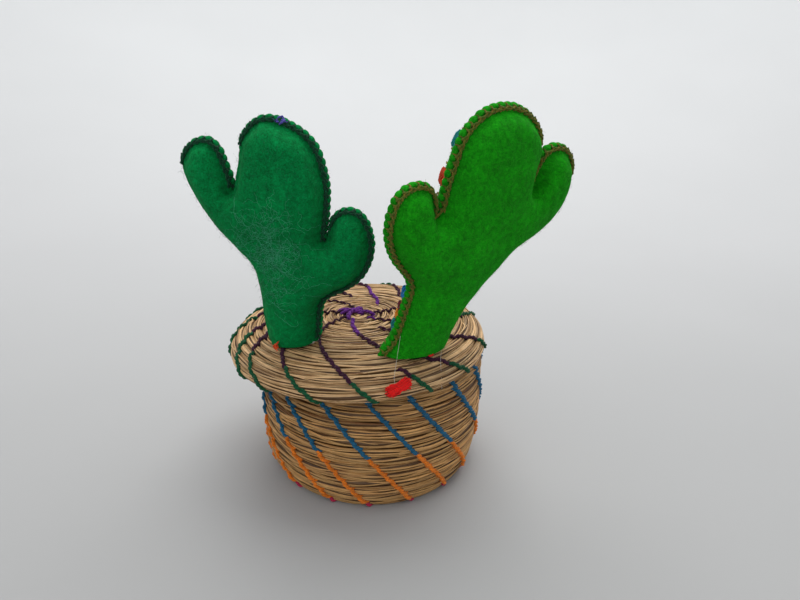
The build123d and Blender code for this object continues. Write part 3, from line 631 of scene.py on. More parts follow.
def lid_stitches(which, colour):
    S = Strands()
    for t, table in enumerate(LID_LINES):
        for i in range(1, 16):
            l = i * LID_PITCH
            first = FIRST.get(t, table[0][0])
            if l < first:
                continue
            kind = 0 if l < PURPLE_TO.get(t, 6.0) else (1 if l < PLUM_TO.get(t, 46.5) else 2)
            if kind != which:
                continue
            (c, n) = LID_ROWS[i]
            a_in = math.radians(lid_angle(table, l - LID_PITCH / 2))
            a_out = math.radians(lid_angle(table, l + LID_PITCH / 2))
            thin = t in THIN and l < 28
            stitch_over(S, (c[0], c[1]), (n[0], n[1]), True, a_in, a_out, colour,
                        r=0.52 if thin else 0.80)
    return S


specs = [
    ("lid_purple_yarn", 0, PURPLE, "lid_purple_stitches", "purple_yarn"),
    ("lid_plum_yarn", 1, PLUM, "lid_plum_stitches", "plum_yarn"),
    ("lid_green_yarn", 2, GREEN, "lid_green_stitches", "green_yarn"),
]
for name, which, colour, cad, slot in specs:
    S = lid_stitches(which, colour)
    if name == "lid_purple_yarn":
        # a few heavy stitches over the start of the coil
        def top(x, y, h):
            return LID_ORIGIN + LX * (x + 5.5) + LY * y + LZ * (11.75 + h)
        for a, b, w in [((-13.2, 3.6), (-3.6, -0.4), 0.95), ((-9.8, -2.6), (-4.2, 5.8), 0.9),
                        ((-12.0, 0.6), (-4.2, 2.8), 0.85), ((-4.6, 1.2), (0.8, -2.0), 0.8),
                        ((-8.6, -0.4), (-8.9, -5.4), 0.85)]:
            s = np.linspace(0, 1, 7)
            m = np.array([top(a[0] + (b[0] - a[0]) * v, a[1] + (b[1] - a[1]) * v,
                              -0.6 + 1.25 * math.sin(math.pi * v) ** 0.6) for v in s])
            twisted(S, m, LZ, w, pitch=3.0, color=PURPLE, phase=a[0])
    ob = S.make(name, YARN)
    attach(ob, "lid"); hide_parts(cad)

for name, rows, colour, cad, slot in [
        ("basket_pink_yarn", [0], PINK, "basket_pink_stitches", "pink_yarn"),
        ("basket_orange_yarn", range(1, 7), ORANGE, "basket_orange_stitches", "orange_yarn"),
        ("basket_blue_yarn", range(7, 14), BLUE, "basket_blue_stitches", "blue_yarn")]:
    S = Strands()
    for k in range(16):
        for i in rows:
            z = WALL_ROWS[i][1]
            jog = 0.35 if i else 0.0
            a_low = math.radians(wall_angle(z - 1.7, k) + jog)
            a_high = math.radians(wall_angle(z + 1.7, k) - jog)
            n = wall_normal(i)
            # the wall's rows run upwards, so the poloidal direction is down first
            stitch_over(S, WALL_ROWS[i], (n[0], n[1]), False, a_high, a_low, colour, r=0.84,
                        lift=0.18 if i else 0.0)
    ob = S.make(name, YARN)
    if 0 in list(rows):
        for v in ob.data.vertices:
            v.co.z = max(v.co.z, 0.0001)
    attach(ob, "basket"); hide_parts(cad)


# ---------------------------------------------------------------------------
# Felt cacti
# ---------------------------------------------------------------------------
class Stand:
    def __init__(self, stand):
        foot, turn, lean, roll = stand
        y, l, r = (math.radians(v) for v in (turn, lean, roll))
        n = np.array([math.sin(y), -math.cos(y), 0])
        t = np.array([math.cos(y), math.sin(y), 0])
        k = np.array([0, 0, 1.0])
        k2 = k * math.cos(l) + n * math.sin(l)
        self.n = n * math.cos(l) - k * math.sin(l)
        self.t = t * math.cos(r) - k2 * math.sin(r)
        self.k = k2 * math.cos(r) + t * math.sin(r)
        self.o = np.array(foot)

    def world(self, u, w, n):
        u, w, n = np.broadcast_arrays(np.asarray(u, float), w, n)
        return self.o + u[..., None] * self.t + w[..., None] * self.k + n[..., None] * self.n

    def local(self, p):
        d = np.asarray(p) - self.o
        return d @ self.t, d @ self.k, d @ self.n


def dense_outline(edge, step, sag=0.12):
    """The cut edge with its corners eased and points every step."""
    pts = np.array(edge, float)
    for _ in range(2):
        nxt = np.roll(pts, -1, 0)
        q = pts * 0.78 + nxt * 0.22
        r = pts * 0.22 + nxt * 0.78
        pts = np.stack([q, r], 1).reshape(-1, 2)
    closed = np.vstack([pts, pts[:1]])
    d = np.concatenate([[0], np.cumsum(np.linalg.norm(np.diff(closed, axis=0), axis=1))])
    n = int(d[-1] / step)
    t = np.linspace(0, d[-1], n, endpoint=False)
    return np.stack([np.interp(t, d, closed[:, k]) for k in range(2)], 1)


def edge_distance(points, poly):
    """Distance to the outline, and whether each point is inside it."""
    a, b = poly, np.roll(poly, -1, 0)
    best = np.full(len(points), 1e9)
    inside = np.zeros(len(points), bool)
    for (x0, y0), (x1, y1) in zip(a, b):
        dx, dy = x1 - x0, y1 - y0
        t = np.clip(((points[:, 0] - x0) * dx + (points[:, 1] - y0) * dy) / (dx * dx + dy * dy + 1e-12), 0, 1)
        d = np.hypot(points[:, 0] - x0 - t * dx, points[:, 1] - y0 - t * dy)
        best = np.minimum(best, d)
        cross = (y0 > points[:, 1]) != (y1 > points[:, 1])
        xi = x0 + (points[:, 1] - y0) * dx / (dy if abs(dy) > 1e-12 else 1e-12)
        inside ^= cross & (points[:, 0] < xi)
    return best, inside


def plumpness(edge, seam):
    """Thickness of the stuffing over the panel: a membrane blown up inside the seam."""
    tall = [(x, y if y > -4.9 else -24.0) for x, y in edge]
    poly = dense_outline(tall, 1.5)
    h = 0.6
    lo = poly.min(0) - 2
    hi = poly.max(0) + 2
    nx, ny = int((hi[0] - lo[0]) / h) + 1, int((hi[1] - lo[1]) / h) + 1
    gx, gy = lo[0] + np.arange(nx) * h, lo[1] + np.arange(ny) * h
    X, Y = np.meshgrid(gx, gy)
    dist, inside = edge_distance(np.stack([X.ravel(), Y.ravel()], 1), poly)
    dom = (inside & (dist > seam)).reshape(X.shape)
    phi = np.zeros(X.shape)
    for _ in range(3200):
        lap = np.zeros_like(phi)
        lap[1:-1, 1:-1] = (phi[2:, 1:-1] + phi[:-2, 1:-1] + phi[1:-1, 2:] + phi[1:-1, :-2] + h * h) / 4
        phi = np.where(dom, lap, 0)
    s = np.sqrt(2 * phi)
    T = s / (1 + 0.0036 * s * s)
    return lo, h, T


def sample(grid, u, w):
    lo, h, T = grid
    x = np.clip((np.asarray(u) - lo[0]) / h, 0, T.shape[1] - 1.001)
    y = np.clip((np.asarray(w) - lo[1]) / h, 0, T.shape[0] - 1.001)
    i, j = x.astype(int), y.astype(int)
    fx, fy = x - i, y - j
    return (T[j, i] * (1 - fx) * (1 - fy) + T[j, i + 1] * fx * (1 - fy)
            + T[j + 1, i] * (1 - fx) * fy + T[j + 1, i + 1] * fx * fy)


def lid_plane_under(stand, gap):
    foot = np.array(stand[0])
    dx = (foot[0] - LID_ORIGIN[0]) / math.cos(LID_TILT)
    r = math.hypot(dx, foot[1])
    h = np.interp(r, [p[0] for p in LID_SURFACE[:7]], [p[1] for p in LID_SURFACE[:7]])
    z = LID_ORIGIN[2] + h * math.cos(LID_TILT) + (foot[0] - LID_ORIGIN[0]) * math.sin(LID_TILT) + gap
    return np.array([foot[0], foot[1], z]), LZ


FLANGE = 1.15


def felt_body(name, edge, stand, felt, frames):
    """Two felt panels sewn round the edge and filled, as one closed form."""
    st = Stand(stand)
    grid = plumpness(edge, 1.9)
    rim = dense_outline(edge, 0.95)
    rim[:, 1] = np.maximum(rim[:, 1], -5.0)
    lo, hi = rim.min(0), rim.max(0)
    cell = 1.25
    xs = np.arange(lo[0], hi[0], cell)
    ys = np.arange(lo[1], hi[1], cell * 0.866)
    P = []
    for k, y in enumerate(ys):
        for x in xs:
            P.append((x + (cell / 2 if k % 2 else 0), y))
    P = np.array(P)
    dist, inside = edge_distance(P, rim)
    P = P[inside & (dist > 0.75)]
    co = [Vector(p) for p in np.vstack([rim, P])]
    nr = len(rim)
    edges = [(i, (i + 1) % nr) for i in range(nr)]
    verts, _, faces, _, _, _ = delaunay_2d_cdt(co, edges, [], 1, 1e-6)
    uv = np.array([tuple(v) for v in verts])
    tri = []
    for f in faces:
        tri.append(tuple(f))
    n = len(uv)
    dist2, _ = edge_distance(uv, rim)
    T = sample(grid, uv[:, 0], uv[:, 1])
    soft = np.clip(dist2 / 0.9, 0, 1)
    round_edge = FLANGE * (0.62 + 0.38 * np.sqrt(soft))
    on_rim = dist2 < 0.02
    front = st.world(uv[:, 0], uv[:, 1], T + round_edge)
    back = st.world(uv[:, 0], uv[:, 1], -T - round_edge)
    # groove between the two layers, only round the rim
    centre_in = []
    order = [i for i in range(n) if on_rim[i]]
    # rim order follows the input points
    order = sorted(order, key=lambda i: i) if len(order) == nr else order
    ring = order[:]
    area = 0
    for i in range(len(ring)):
        a, b = uv[ring[i]], uv[ring[(i + 1) % len(ring)]]
        area += a[0] * b[1] - b[0] * a[1]
    V = np.vstack([front, back])
    F = []
    for f in tri:
        a, b, c = uv[f[0]], uv[f[1]], uv[f[2]]
        ccw = (b[0] - a[0]) * (c[1] - a[1]) - (b[1] - a[1]) * (c[0] - a[0]) > 0
        g = f if ccw else f[::-1]
        F.append(tuple(g))
        F.append(tuple(i + n for i in reversed(g)))
    ringpos = {v: k for k, v in enumerate(ring)}
    groove = []
    for k, v in enumerate(ring):
        p, q = uv[ring[k - 1]], uv[ring[(k + 1) % len(ring)]]
        t = unit(q - p)
        inward = np.array([-t[1], t[0]]) * (1 if area > 0 else -1)
        g = uv[v] + inward * (0.35 if sample(grid, *uv[v]) < 0.5 else 0.0)
        groove.append(st.world(g[0], g[1], 0.0))
    base = len(V)
    V = np.vstack([V, np.array(groove)])
    m = len(ring)
    for k in range(m):
        k2 = (k + 1) % m
        a, b = ring[k], ring[k2]
        quads = [(a, base + k, base + k2, b), (base + k, a + n, b + n, base + k2)]
        for qd in quads:
            F.append(qd if area > 0 else qd[::-1])
    plane_o, plane_n = lid_plane_under(stand, 0.35)
    me = bpy.data.meshes.new(name)
    me.from_pydata([Vector(v * MM) for v in V], [], F)
    me.update()
    ob = bpy.data.objects.new(name, me)
    scene.collection.objects.link(ob)
    # the filling pushes the felt out; the sewn edge and the foot are held
    if frames:
        vg = ob.vertex_groups.new(name="held")
        co = V
        heights = (co - plane_o) @ plane_n
        for i in range(len(V)):
            if i < 2 * n:
                d = dist2[i % n]
                w = 1.0 if d < 1.6 else max(0.0, 1 - (d - 1.6) / 1.6)
            else:
                w = 1.0
            if heights[i] < 3.0:
                w = 1.0
            if w > 0:
                vg.add([i], w, "REPLACE")
        cl = ob.modifiers.new("cloth", "CLOTH")
        cs = cl.settings
        cs.quality = 6
        cs.mass = 0.15
        cs.tension_stiffness = 12
        cs.compression_stiffness = 12
        cs.shear_stiffness = 4
        cs.bending_stiffness = 0.6
        cs.use_pressure = True
        cs.uniform_pressure_force = 3.0
        cs.vertex_group_mass = "held"
        cs.effector_weights.gravity = 0
        cl.collision_settings.use_collision = False
        scene.frame_start, scene.frame_end = 1, frames
        cl.point_cache.frame_start, cl.point_cache.frame_end = 1, frames
        for f in range(1, frames + 1):
            scene.frame_set(f)
        dg = bpy.context.evaluated_depsgraph_get()
        ev = ob.evaluated_get(dg)
        sim = np.array([tuple(v.co) for v in ev.data.vertices]) / MM
        move = sim - V
        size = np.linalg.norm(move, axis=1, keepdims=True)
        cap = 0.9
        sim = V + move * np.minimum(1, cap / np.maximum(size, 1e-9))
        sim = np.where(np.isfinite(sim), sim, V)
        ob.modifiers.remove(cl)
        ob.vertex_groups.clear()
        scene.frame_set(1)
        V = sim
    # hand-made unevenness: slow dents and puckers where the stitches pull
    uu, ww, nn = st.local(V)
    side = np.sign(nn)
    full = np.zeros(len(V)); full[:n] = dist2; full[n:2 * n] = dist2
    dent = (0.30 * np.sin(uu * 0.31 + ww * 0.22 + 1.0) * np.sin(ww * 0.27 - uu * 0.13)
            + 0.16 * np.sin(uu * 0.9 + 2) * np.sin(ww * 0.8 + uu * 0.3))
    dent *= np.clip((full - 2.0) / 4.0, 0, 1)
    V = V + (side * dent)[:, None] * st.n
    h = (V - plane_o) @ plane_n
    low = h < 0
    V = V - np.where(low, h, 0)[:, None] * plane_n
    me.vertices.foreach_set("co", (V * MM).astype(np.float32).ravel())
    me.update()
    me.shade_smooth()
    me.materials.append(felt)
    sub = ob.modifiers.new("smooth", "SUBSURF")
    sub.levels = 1
    sub.render_levels = 1
    tree = BVHTree.FromPolygons([Vector(v) for v in V], [tuple(p.vertices) for p in me.polygons])
    return ob, st, rim, tree, (plane_o, plane_n), grid


def on_face(tree, st, u, w, side):
    """Point and normal of the felt over (u, w), on the plain (+1) or turned-away (-1) face."""
    o = st.world(u, w, 40.0 * side)
    hit = tree.ray_cast(Vector(o), Vector(st.n * -side))
    if hit[0] is None:
        return None
    n = np.array(hit[1])
    if n @ (st.n * side) < 0:
        n = -n
    return np.array(hit[0]), n


def blanket(name, ob, st, rim, tree, plane, colour, low, felt, cad, rolled, pitch=2.35, depth=3.2, second=None):
    """Blanket stitch worked from the turned-away face: a purled braid lies along
    the edge of the plain face, each stitch wraps the edge and bites behind."""
    S = Strands()
    P = Strands()
    second = colour if second is None else second
    closed = np.vstack([rim, rim[:1]])
    d = np.concatenate([[0], np.cumsum(np.linalg.norm(np.diff(closed, axis=0), axis=1))])
    area = (rim[:, 0] * np.roll(rim[:, 1], -1) - np.roll(rim[:, 0], -1) * rim[:, 1]).sum()
    sgn = 1 if area > 0 else -1
    count = int(d[-1] / pitch)

    def at(s):
        s = s % d[-1]
        p = np.array([np.interp(s, d, closed[:, k]) for k in range(2)])
        q = np.array([np.interp((s + 0.6) % d[-1], d, closed[:, k]) for k in range(2)])
        r = np.array([np.interp((s - 0.6) % d[-1], d, closed[:, k]) for k in range(2)])
        t = unit(q - r)
        return p, t, np.array([-t[1], t[0]]) * sgn

    def height(u, w):
        return (st.world(u, w, 0.0) - plane[0]) @ plane[1]

    def tuck(inn):
        """How far the seam rolls to the turned-away side along this part of the edge."""
        v = float(np.clip((rolled * inn[0] + 0.6 * inn[1] - 0.50) / 0.45, 0, 1))
        return v * v * (3 - 2 * v)

    step = d[-1] / count
    runs, run = [], []
    for k in range(count):
        s = (k + rng.uniform(-0.10, 0.10)) * step
        p, t, inn = at(s)
        if height(*p) < low:
            if run:
                runs.append(run)
            run = []
            continue
        run.append(s)
        deep = depth * rng.uniform(0.82, 1.12)
        lean = rng.uniform(-0.35, 0.35)
        # over the edge and down the turned-away face
        path, nrm = [], []
        for off, n in ((0.30, FLANGE + 0.20), (-0.24, FLANGE * 0.6), (-0.40, 0.0), (-0.24, -FLANGE * 0.75),
                       (0.20, -FLANGE - 0.22)):
            w = tuck(inn)
            off = off + 0.35 * w
            q = p + inn * off + t * (0.35 - 0.35 * (off + 0.5))
            path.append(st.world(q[0], q[1], n - max(0.0, n + 1.2) * w))
            nrm.append(st.n * np.sign(n) * (0.2 + abs(n)) - st_world_dir(st, inn) * 1.0)
        for f in (0.4, 0.7, 0.92):
            q = p + inn * deep * f + t * lean * f
            hit = on_face(tree, st, q[0], q[1], -1)
            if hit is None:
                continue
            path.append(hit[0] + hit[1] * 0.26); nrm.append(hit[1])
        q = p + inn * deep + t * lean
        hit = on_face(tree, st, q[0], q[1], -1)
        if hit is not None:
            path.append(hit[0] - hit[1] * 0.45); nrm.append(hit[1])
        twisted(S, np.array(path), np.array(nrm), 0.37, pitch=2.1, color=colour if k % 3 else second, sides=5)
    if run:
        runs.append(run)
    if len(runs) > 1 and runs[0][0] < step and runs[-1][-1] > d[-1] - 2 * step:
        runs[0] = [v - d[-1] for v in runs.pop()] + runs[0]
    for run in runs:
        # the purl: slanted loops, each caught by the next, along the plain face's edge
        for a, b in zip(run, run[1:]):
            p, t, inn = at(a)
            q, t2, inn2 = at(b)
            for lane, (i0, i1, h0, h1) in enumerate(((-0.22, 0.62, 0.0, 0.42), (0.78, 0.02, 0.30, 0.18))):
                path = []
                w = tuck(inn)
                for f in np.linspace(-0.18, 1.12, 6):
                    m = p + (q - p) * f
                    e = inn * (i0 + (i1 - i0) * f + 0.5 * w)
                    path.append(st.world(m[0] + e[0], m[1] + e[1],
                                         (FLANGE + 0.10) * (1 - w) - (FLANGE + 0.5) * w + h0 + (h1 - h0) * f
                                         + 0.22 * math.sin(math.pi * min(max(f, 0), 1))))
                twisted(S, np.array(path), st.n, 0.44, pitch=1.9, color=colour if lane else second, sides=5,
                        phase=rng.uniform(0, 6))
            # felt pillows out between two wraps
            path, nrm = [], []
            for f in np.linspace(0.06, 0.94, 7):
                m = p + (q - p) * f
                w = tuck(inn)
                e = -inn * ((0.30 - 0.2 * w) * math.sin(math.pi * f)) + inn * (0.30 + 0.75 * w)
                path.append(st.world(m[0] + e[0], m[1] + e[1], -0.30 - 0.5 * w)); nrm.append(st.n)
            big = rng.uniform(0.92, 1.08)
            P.tube(np.array(path), big * np.array([0.66, 0.86, 0.95, 0.98, 0.95, 0.86, 0.66]),
                   big * np.array([1.0, 1.22, 1.36, 1.40, 1.36, 1.22, 1.0]), normal=np.array(nrm), sides=10)
    # loose ends of thread fibre that stand off the seam
    for _ in range(count * 3):
        p, t, inn = at(rng.uniform(0, d[-1]))
        if height(*p) < low:
            continue
        o0 = st.world(p[0], p[1], rng.uniform(-1.2, 1.6))
        dv = unit(-st_world_dir(st, inn) * rng.uniform(0.2, 1) + st.n * rng.normal() * 0.6
                  + st_world_dir(st, t) * rng.normal() * 0.9)
        L = rng.uniform(0.5, 1.7)
        s = np.linspace(0, 1, 5)[:, None]
        S.tube(o0 + dv * s * L + st.k * (s * s * rng.normal() * 0.4), 0.025, sides=3, color=np.array(second) * 1.4)
    o = S.make(name, THREAD)
    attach(o, "lid"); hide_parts(cad)
    o = P.make(name.replace("blanket_stitch", "edge_puffs"), felt[0])
    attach(o, "lid")


def st_world_dir(st, d2):
    return d2[0] * st.t + d2[1] * st.k


def fuzz(name, st, tree, edge, count, colour, long_patch=None, seed_shift=0.0):
    """Loose wool fibres lying on and standing off the felt."""
    S = Strands()
    e = np.array(edge)
    lo, hi = e.min(0), e.max(0)
    rim = dense_outline(edge, 1.5)
    P = rng.uniform(lo, hi, (count * 2, 2))
    dist, inside = edge_distance(P, rim)
    P = P[inside & (dist > 0.2)][:count]
    for p in P:
        side = 1 if rng.random() < 0.6 else -1
        hit = on_face(tree, st, p[0], p[1], side)
        if hit is None:
            continue
        q, n = hit
        t = rng.normal(size=3)
        t = unit(t - (t @ n) * n)
        b = np.cross(n, t)
        L = rng.uniform(0.8, 2.6)
        m = 6
        s = np.linspace(0, 1, m)
        curl = rng.uniform(-1.2, 1.2)
        path = q + (t * (s * L)[:, None]) + b * (curl * s * s * L * 0.5)[:, None] \
            + n * (0.04 + rng.uniform(0.08, 0.55) * np.sin(s * math.pi * rng.uniform(0.5, 0.95)))[:, None]
        S.tube(path, 0.026 * (1 - 0.5 * s), sides=3, normal=n, color=np.array(colour) * rng.uniform(0.6, 1.35))
    if long_patch is not None:
        (cu, cw), (su, sw), k, pale = long_patch
        for _ in range(k):
            u, w = rng.normal(cu, su), rng.normal(cw, sw)
            a = rng.uniform(0, 6.28)
            path = []
            hitn = None
            for i in range(22):
                hit = on_face(tree, st, u, w, 1)
                if hit is None:
                    break
                path.append(hit[0] + hit[1] * rng.uniform(0.12, 0.22))
                hitn = hit[1]
                a += rng.normal() * 0.55
                u += 0.55 * math.cos(a)
                w += 0.55 * math.sin(a)
            if len(path) > 5:
                S.tube(np.array(path), 0.032, sides=3, normal=hitn, color=np.array(pale) * rng.uniform(0.8, 1.2))
    o = S.make(name, FUZZ)
    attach(o, "lid")
    return o


FRAMES = 20
dark = felt_body("dark_cactus_body", DARK_EDGE, DARK_STAND, DARK_FELT, FRAMES)
light = felt_body("light_cactus_body", LIGHT_EDGE, LIGHT_STAND, LIGHT_FELT, FRAMES)
for pre, it in (("dark", dark), ("light", light)):
    ob = it[0]
    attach(ob, "lid")
    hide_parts(f"{pre}_cactus_plain_panel", f"{pre}_cactus_embroidered_panel", f"{pre}_cactus_stuffing")

DARK_THREAD = (0.002, 0.085, 0.034)
OLIVE = (0.215, 0.175, 0.020)
blanket("dark_cactus_blanket_stitch", dark[0], dark[1], dark[2], dark[3], dark[4], DARK_THREAD, 1.2,
        (DARK_FELT, "dark_green_felt"), "dark_cactus_edge_stitches", 1, second=(0.001, 0.055, 0.022))
blanket("light_cactus_blanket_stitch", light[0], light[1], light[2], light[3], light[4], OLIVE, 1.2,
        (LIGHT_FELT, "bright_green_felt"), "light_cactus_edge_stitches", -1, second=(0.10, 0.155, 0.012))

o = fuzz("dark_cactus_fibres", dark[1], dark[3], DARK_EDGE, 1900, (0.006, 0.20, 0.085),
         long_patch=((-3.0, 33.5), (4.6, 8.5), 150, (0.10, 0.58, 0.33)))
o = fuzz("light_cactus_fibres", light[1], light[3], LIGHT_EDGE, 1900, (0.03, 0.38, 0.012))


# ---------------------------------------------------------------------------
# Embroidery on the faces turned away
# ---------------------------------------------------------------------------
def laid(S, st, tree, pts, r, colour, lift=0.16, side=-1):
    path, nrm = [], []
    for u, w in pts:
        hit = on_face(tree, st, u, w, side)
        if hit is None:
            return
        path.append(hit[0] + hit[1] * lift)
        nrm.append(hit[1])
    path[0] = path[0] - nrm[0] * 0.35
    path[-1] = path[-1] - nrm[-1] * 0.35
    S.tube(np.array(path), r, normal=np.array(nrm), sides=5, color=np.array(colour) * rng.uniform(0.85, 1.12))


def daisy(S, st, tree, cu, cw, size, petals, colour, middle):
    for k in range(petals):
        a = 2 * math.pi * k / petals + 0.2
        for off in np.linspace(-0.30, 0.30, 5):
            r0, r1 = size * 0.26, size * (1.0 - 1.1 * off * off * 2)
            a1 = a + off * 0.95
            a0 = a + off * 0.4
            am = a + off * 1.25
            laid(S, st, tree, [(cu + r0 * math.cos(a0), cw + r0 * math.sin(a0)),
                               (cu + 0.5 * (r0 + r1) * math.cos(am), cw + 0.5 * (r0 + r1) * math.sin(am)),
                               (cu + r1 * math.cos(a1), cw + r1 * math.sin(a1))], 0.24, colour)
    for k in range(9):
        a = 2.4 * k
        r = 0.28 * math.sqrt(k) * size * 0.28
        hit = on_face(tree, st, cu + r * math.cos(a), cw + r * math.sin(a), -1)
        if hit is None:
            continue
        q, n = hit
        t = unit(np.cross(n, [0.3, 0.2, 0.9]))
        b = np.cross(n, t)
        th = np.linspace(0, 4 * math.pi, 14)
        S.tube(q + n * (0.25 + 0.1 * np.sin(th * 0.5))[:, None] + (t * np.cos(th)[:, None] + b * np.sin(th)[:, None]) * 0.3,
               0.2, normal=n, sides=5, color=middle)


def leaf(S, st, tree, u, w, a, size, colour):
    for k in np.linspace(-0.35, 0.35, 5):
        L = size * (1 - k * k * 3)
        laid(S, st, tree, [(u, w), (u + 0.5 * L * math.cos(a + k * 1.4), w + 0.5 * L * math.sin(a + k * 1.4)),
                           (u + L * math.cos(a + k * 0.6), w + L * math.sin(a + k * 0.6))], 0.22, colour)


def band(S, st, tree, w, u0, u1, colours, height=2.6, pitch=1.15):
    """A zigzag row of straight stitches, changing colour."""
    n = int((u1 - u0) / pitch)
    for k in range(n):
        a = u0 + k * pitch
        c = colours[(k // 2) % len(colours)]
        laid(S, st, tree, [(a, w - height / 2), (a + pitch / 2, w), (a + pitch, w + height / 2)], 0.25, c)
        laid(S, st, tree, [(a + pitch, w + height / 2), (a + pitch * 1.2, w), (a + pitch, w - height / 2)], 0.22, c)


def peek(S, st, tree, rim, side_u, w0, w1, colour, u_limit=12.0):
    """Rows of satin stitch close to the seam, which show past it from the front."""
    c = rim[(rim[:, 1] > w0) & (rim[:, 1] < w1) & (rim[:, 0] * side_u > 0) & (np.abs(rim[:, 0]) < u_limit)]
    c = c[np.argsort(c[:, 1])]
    if len(c) < 3:
        return
    f = np.linspace(0, len(c) - 1, 9)
    c = np.stack([np.interp(f, np.arange(len(c)), c[:, j]) for j in range(2)], 1)
    for k in range(9):
        inset = 0.7 + 0.42 * k
        trim = slice(0, 9) if k < 6 else slice(1, 8)
        pts = [(q[0] - side_u * inset, q[1] + rng.uniform(-0.1, 0.1)) for q in c[trim]]
        laid(S, st, tree, pts, 0.34, colour, lift=0.80 if 0 < k < 7 else 0.40)


TEAL, SKY = (0.0, 0.26, 0.27), (0.02, 0.17, 0.55)
MAROON, VERM = (0.17, 0.006, 0.02), (0.80, 0.07, 0.012)
YELLOW, ROSE, WHITE = (0.85, 0.55, 0.03), (0.78, 0.06, 0.26), (0.80, 0.78, 0.72)
AMBER, LILAC = (0.88, 0.30, 0.01), (0.33, 0.10, 0.52)

S = Strands()
st, tree = dark[1], dark[3]
band(S, st, tree, 7.5, -7.0, 6.0, [YELLOW, AMBER, VERM])
daisy(S, st, tree, -0.3, 19.0, 4.8, 6, ROSE, YELLOW)
leaf(S, st, tree, -4.8, 15.0, 3.6, 3.4, (0.25, 0.5, 0.05)); leaf(S, st, tree, 4.4, 15.0, -0.5, 3.4, (0.25, 0.5, 0.05))
daisy(S, st, tree, -0.3, 35.0, 5.6, 7, AMBER, MAROON)
daisy(S, st, tree, -1.0, 53.5, 6.0, 8, SKY, YELLOW)
daisy(S, st, tree, 20.5, 33.5, 3.7, 6, VERM, WHITE)
daisy(S, st, tree, -22.0, 54.5, 3.6, 6, LILAC, YELLOW)
leaf(S, st, tree, 6.0, 44.5, 0.9, 3.6, (0.25, 0.5, 0.05)); leaf(S, st, tree, -6.5, 44.0, 2.2, 3.6, (0.25, 0.5, 0.05))
band(S, st, tree, 65.0, -7.0, 6.0, [ROSE, TEAL, YELLOW])
peek(S, st, tree, dark[2], 1, 2.0, 5.0, YELLOW, u_limit=12)
peek(S, st, tree, dark[2], 1, 5.2, 8.0, AMBER, u_limit=12)
peek(S, st, tree, dark[2], 1, 8.2, 10.8, (0.25, 0.5, 0.05), u_limit=12)
o = S.make("dark_cactus_embroidery_thread", THREAD)
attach(o, "lid"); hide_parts("dark_cactus_embroidery")

S = Strands()
st, tree = light[1], light[3]
band(S, st, tree, 8.0, -7.5, 8.5, [TEAL, AMBER, MAROON, SKY])
daisy(S, st, tree, -0.3, 20.5, 4.9, 6, AMBER, MAROON)
leaf(S, st, tree, -5.0, 15.5, 3.5, 3.2, TEAL); leaf(S, st, tree, 5.0, 15.5, -0.4, 3.2, TEAL)
daisy(S, st, tree, -0.4, 38.5, 5.8, 7, VERM, YELLOW)
daisy(S, st, tree, -0.6, 60.0, 6.6, 8, ROSE, YELLOW)
daisy(S, st, tree, -20.8, 44.5, 3.8, 6, SKY, WHITE)
daisy(S, st, tree, 24.2, 62.5, 4.2, 6, LILAC, YELLOW)
leaf(S, st, tree, 6.0, 48.5, 0.9, 4.0, MAROON); leaf(S, st, tree, -6.5, 48.0, 2.2, 4.0, MAROON)
band(S, st, tree, 73.0, -9.0, 7.5, [SKY, VERM, YELLOW])
peek(S, st, tree, light[2], -1, 4.6, 8.6, TEAL, u_limit=12)
peek(S, st, tree, light[2], -1, 8.8, 12.2, AMBER, u_limit=12)
peek(S, st, tree, light[2], -1, 12.4, 15.4, MAROON, u_limit=12)
peek(S, st, tree, light[2], -1, 15.8, 20.5, (0.0, 0.22, 0.62), u_limit=12)
peek(S, st, tree, light[2], -1, 54.5, 61.0, VERM, u_limit=17)
peek(S, st, tree, light[2], -1, 66.5, 71.5, TEAL, u_limit=17)
o = S.make("light_cactus_embroidery_thread", THREAD)
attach(o, "lid"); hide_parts("light_cactus_embroidery")


# ---------------------------------------------------------------------------
# Knots, tuft, glue
# ---------------------------------------------------------------------------
def knot(name, centre, up, colour, size, tails, cad):
    """A small overhand knot of yarn with its cut tails."""
    S = Strands()
    c = np.array(centre, float)
    up = unit(np.array(up, float))
    t = unit(np.cross(up, [0.2, 0.9, 0.1]))
    b = np.cross(up, t)
    th = np.linspace(0, 4 * math.pi, 44)
    p = c + (t * (np.cos(th) * (0.75 + 0.35 * np.sin(1.5 * th)))[:, None]
             + b * (np.sin(th) * (0.75 + 0.35 * np.cos(1.5 * th)))[:, None]
             + up * (0.35 * np.sin(1.5 * th + 0.6))[:, None]) * size
    twisted(S, p, up, 0.42, pitch=2.2, color=colour, ply=0.6)
    for d in tails:
        d = np.array(d, float)
        L = np.linalg.norm(d)
        s = np.linspace(0, 1, 8)[:, None]
        path = c + d * s + up * (np.sin(s * 2.4) * 0.5) + t * (np.sin(s * 3.1) * 0.25 * L * 0.3)
        twisted(S, path, up, 0.4, pitch=2.2, color=colour, ply=0.6)
        for _ in range(7):
            e = path[-1] + rng.normal(size=3) * 0.12
            f = e + unit(d + rng.normal(size=3) * 0.5 * L) * rng.uniform(0.5, 1.1)
            S.tube(np.array([path[-2], e, f]), 0.07, sides=4, color=np.array(colour) * rng.uniform(0.9, 1.3))
    o = S.make(name, YARN)
    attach(o, "lid"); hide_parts(cad)
    return o


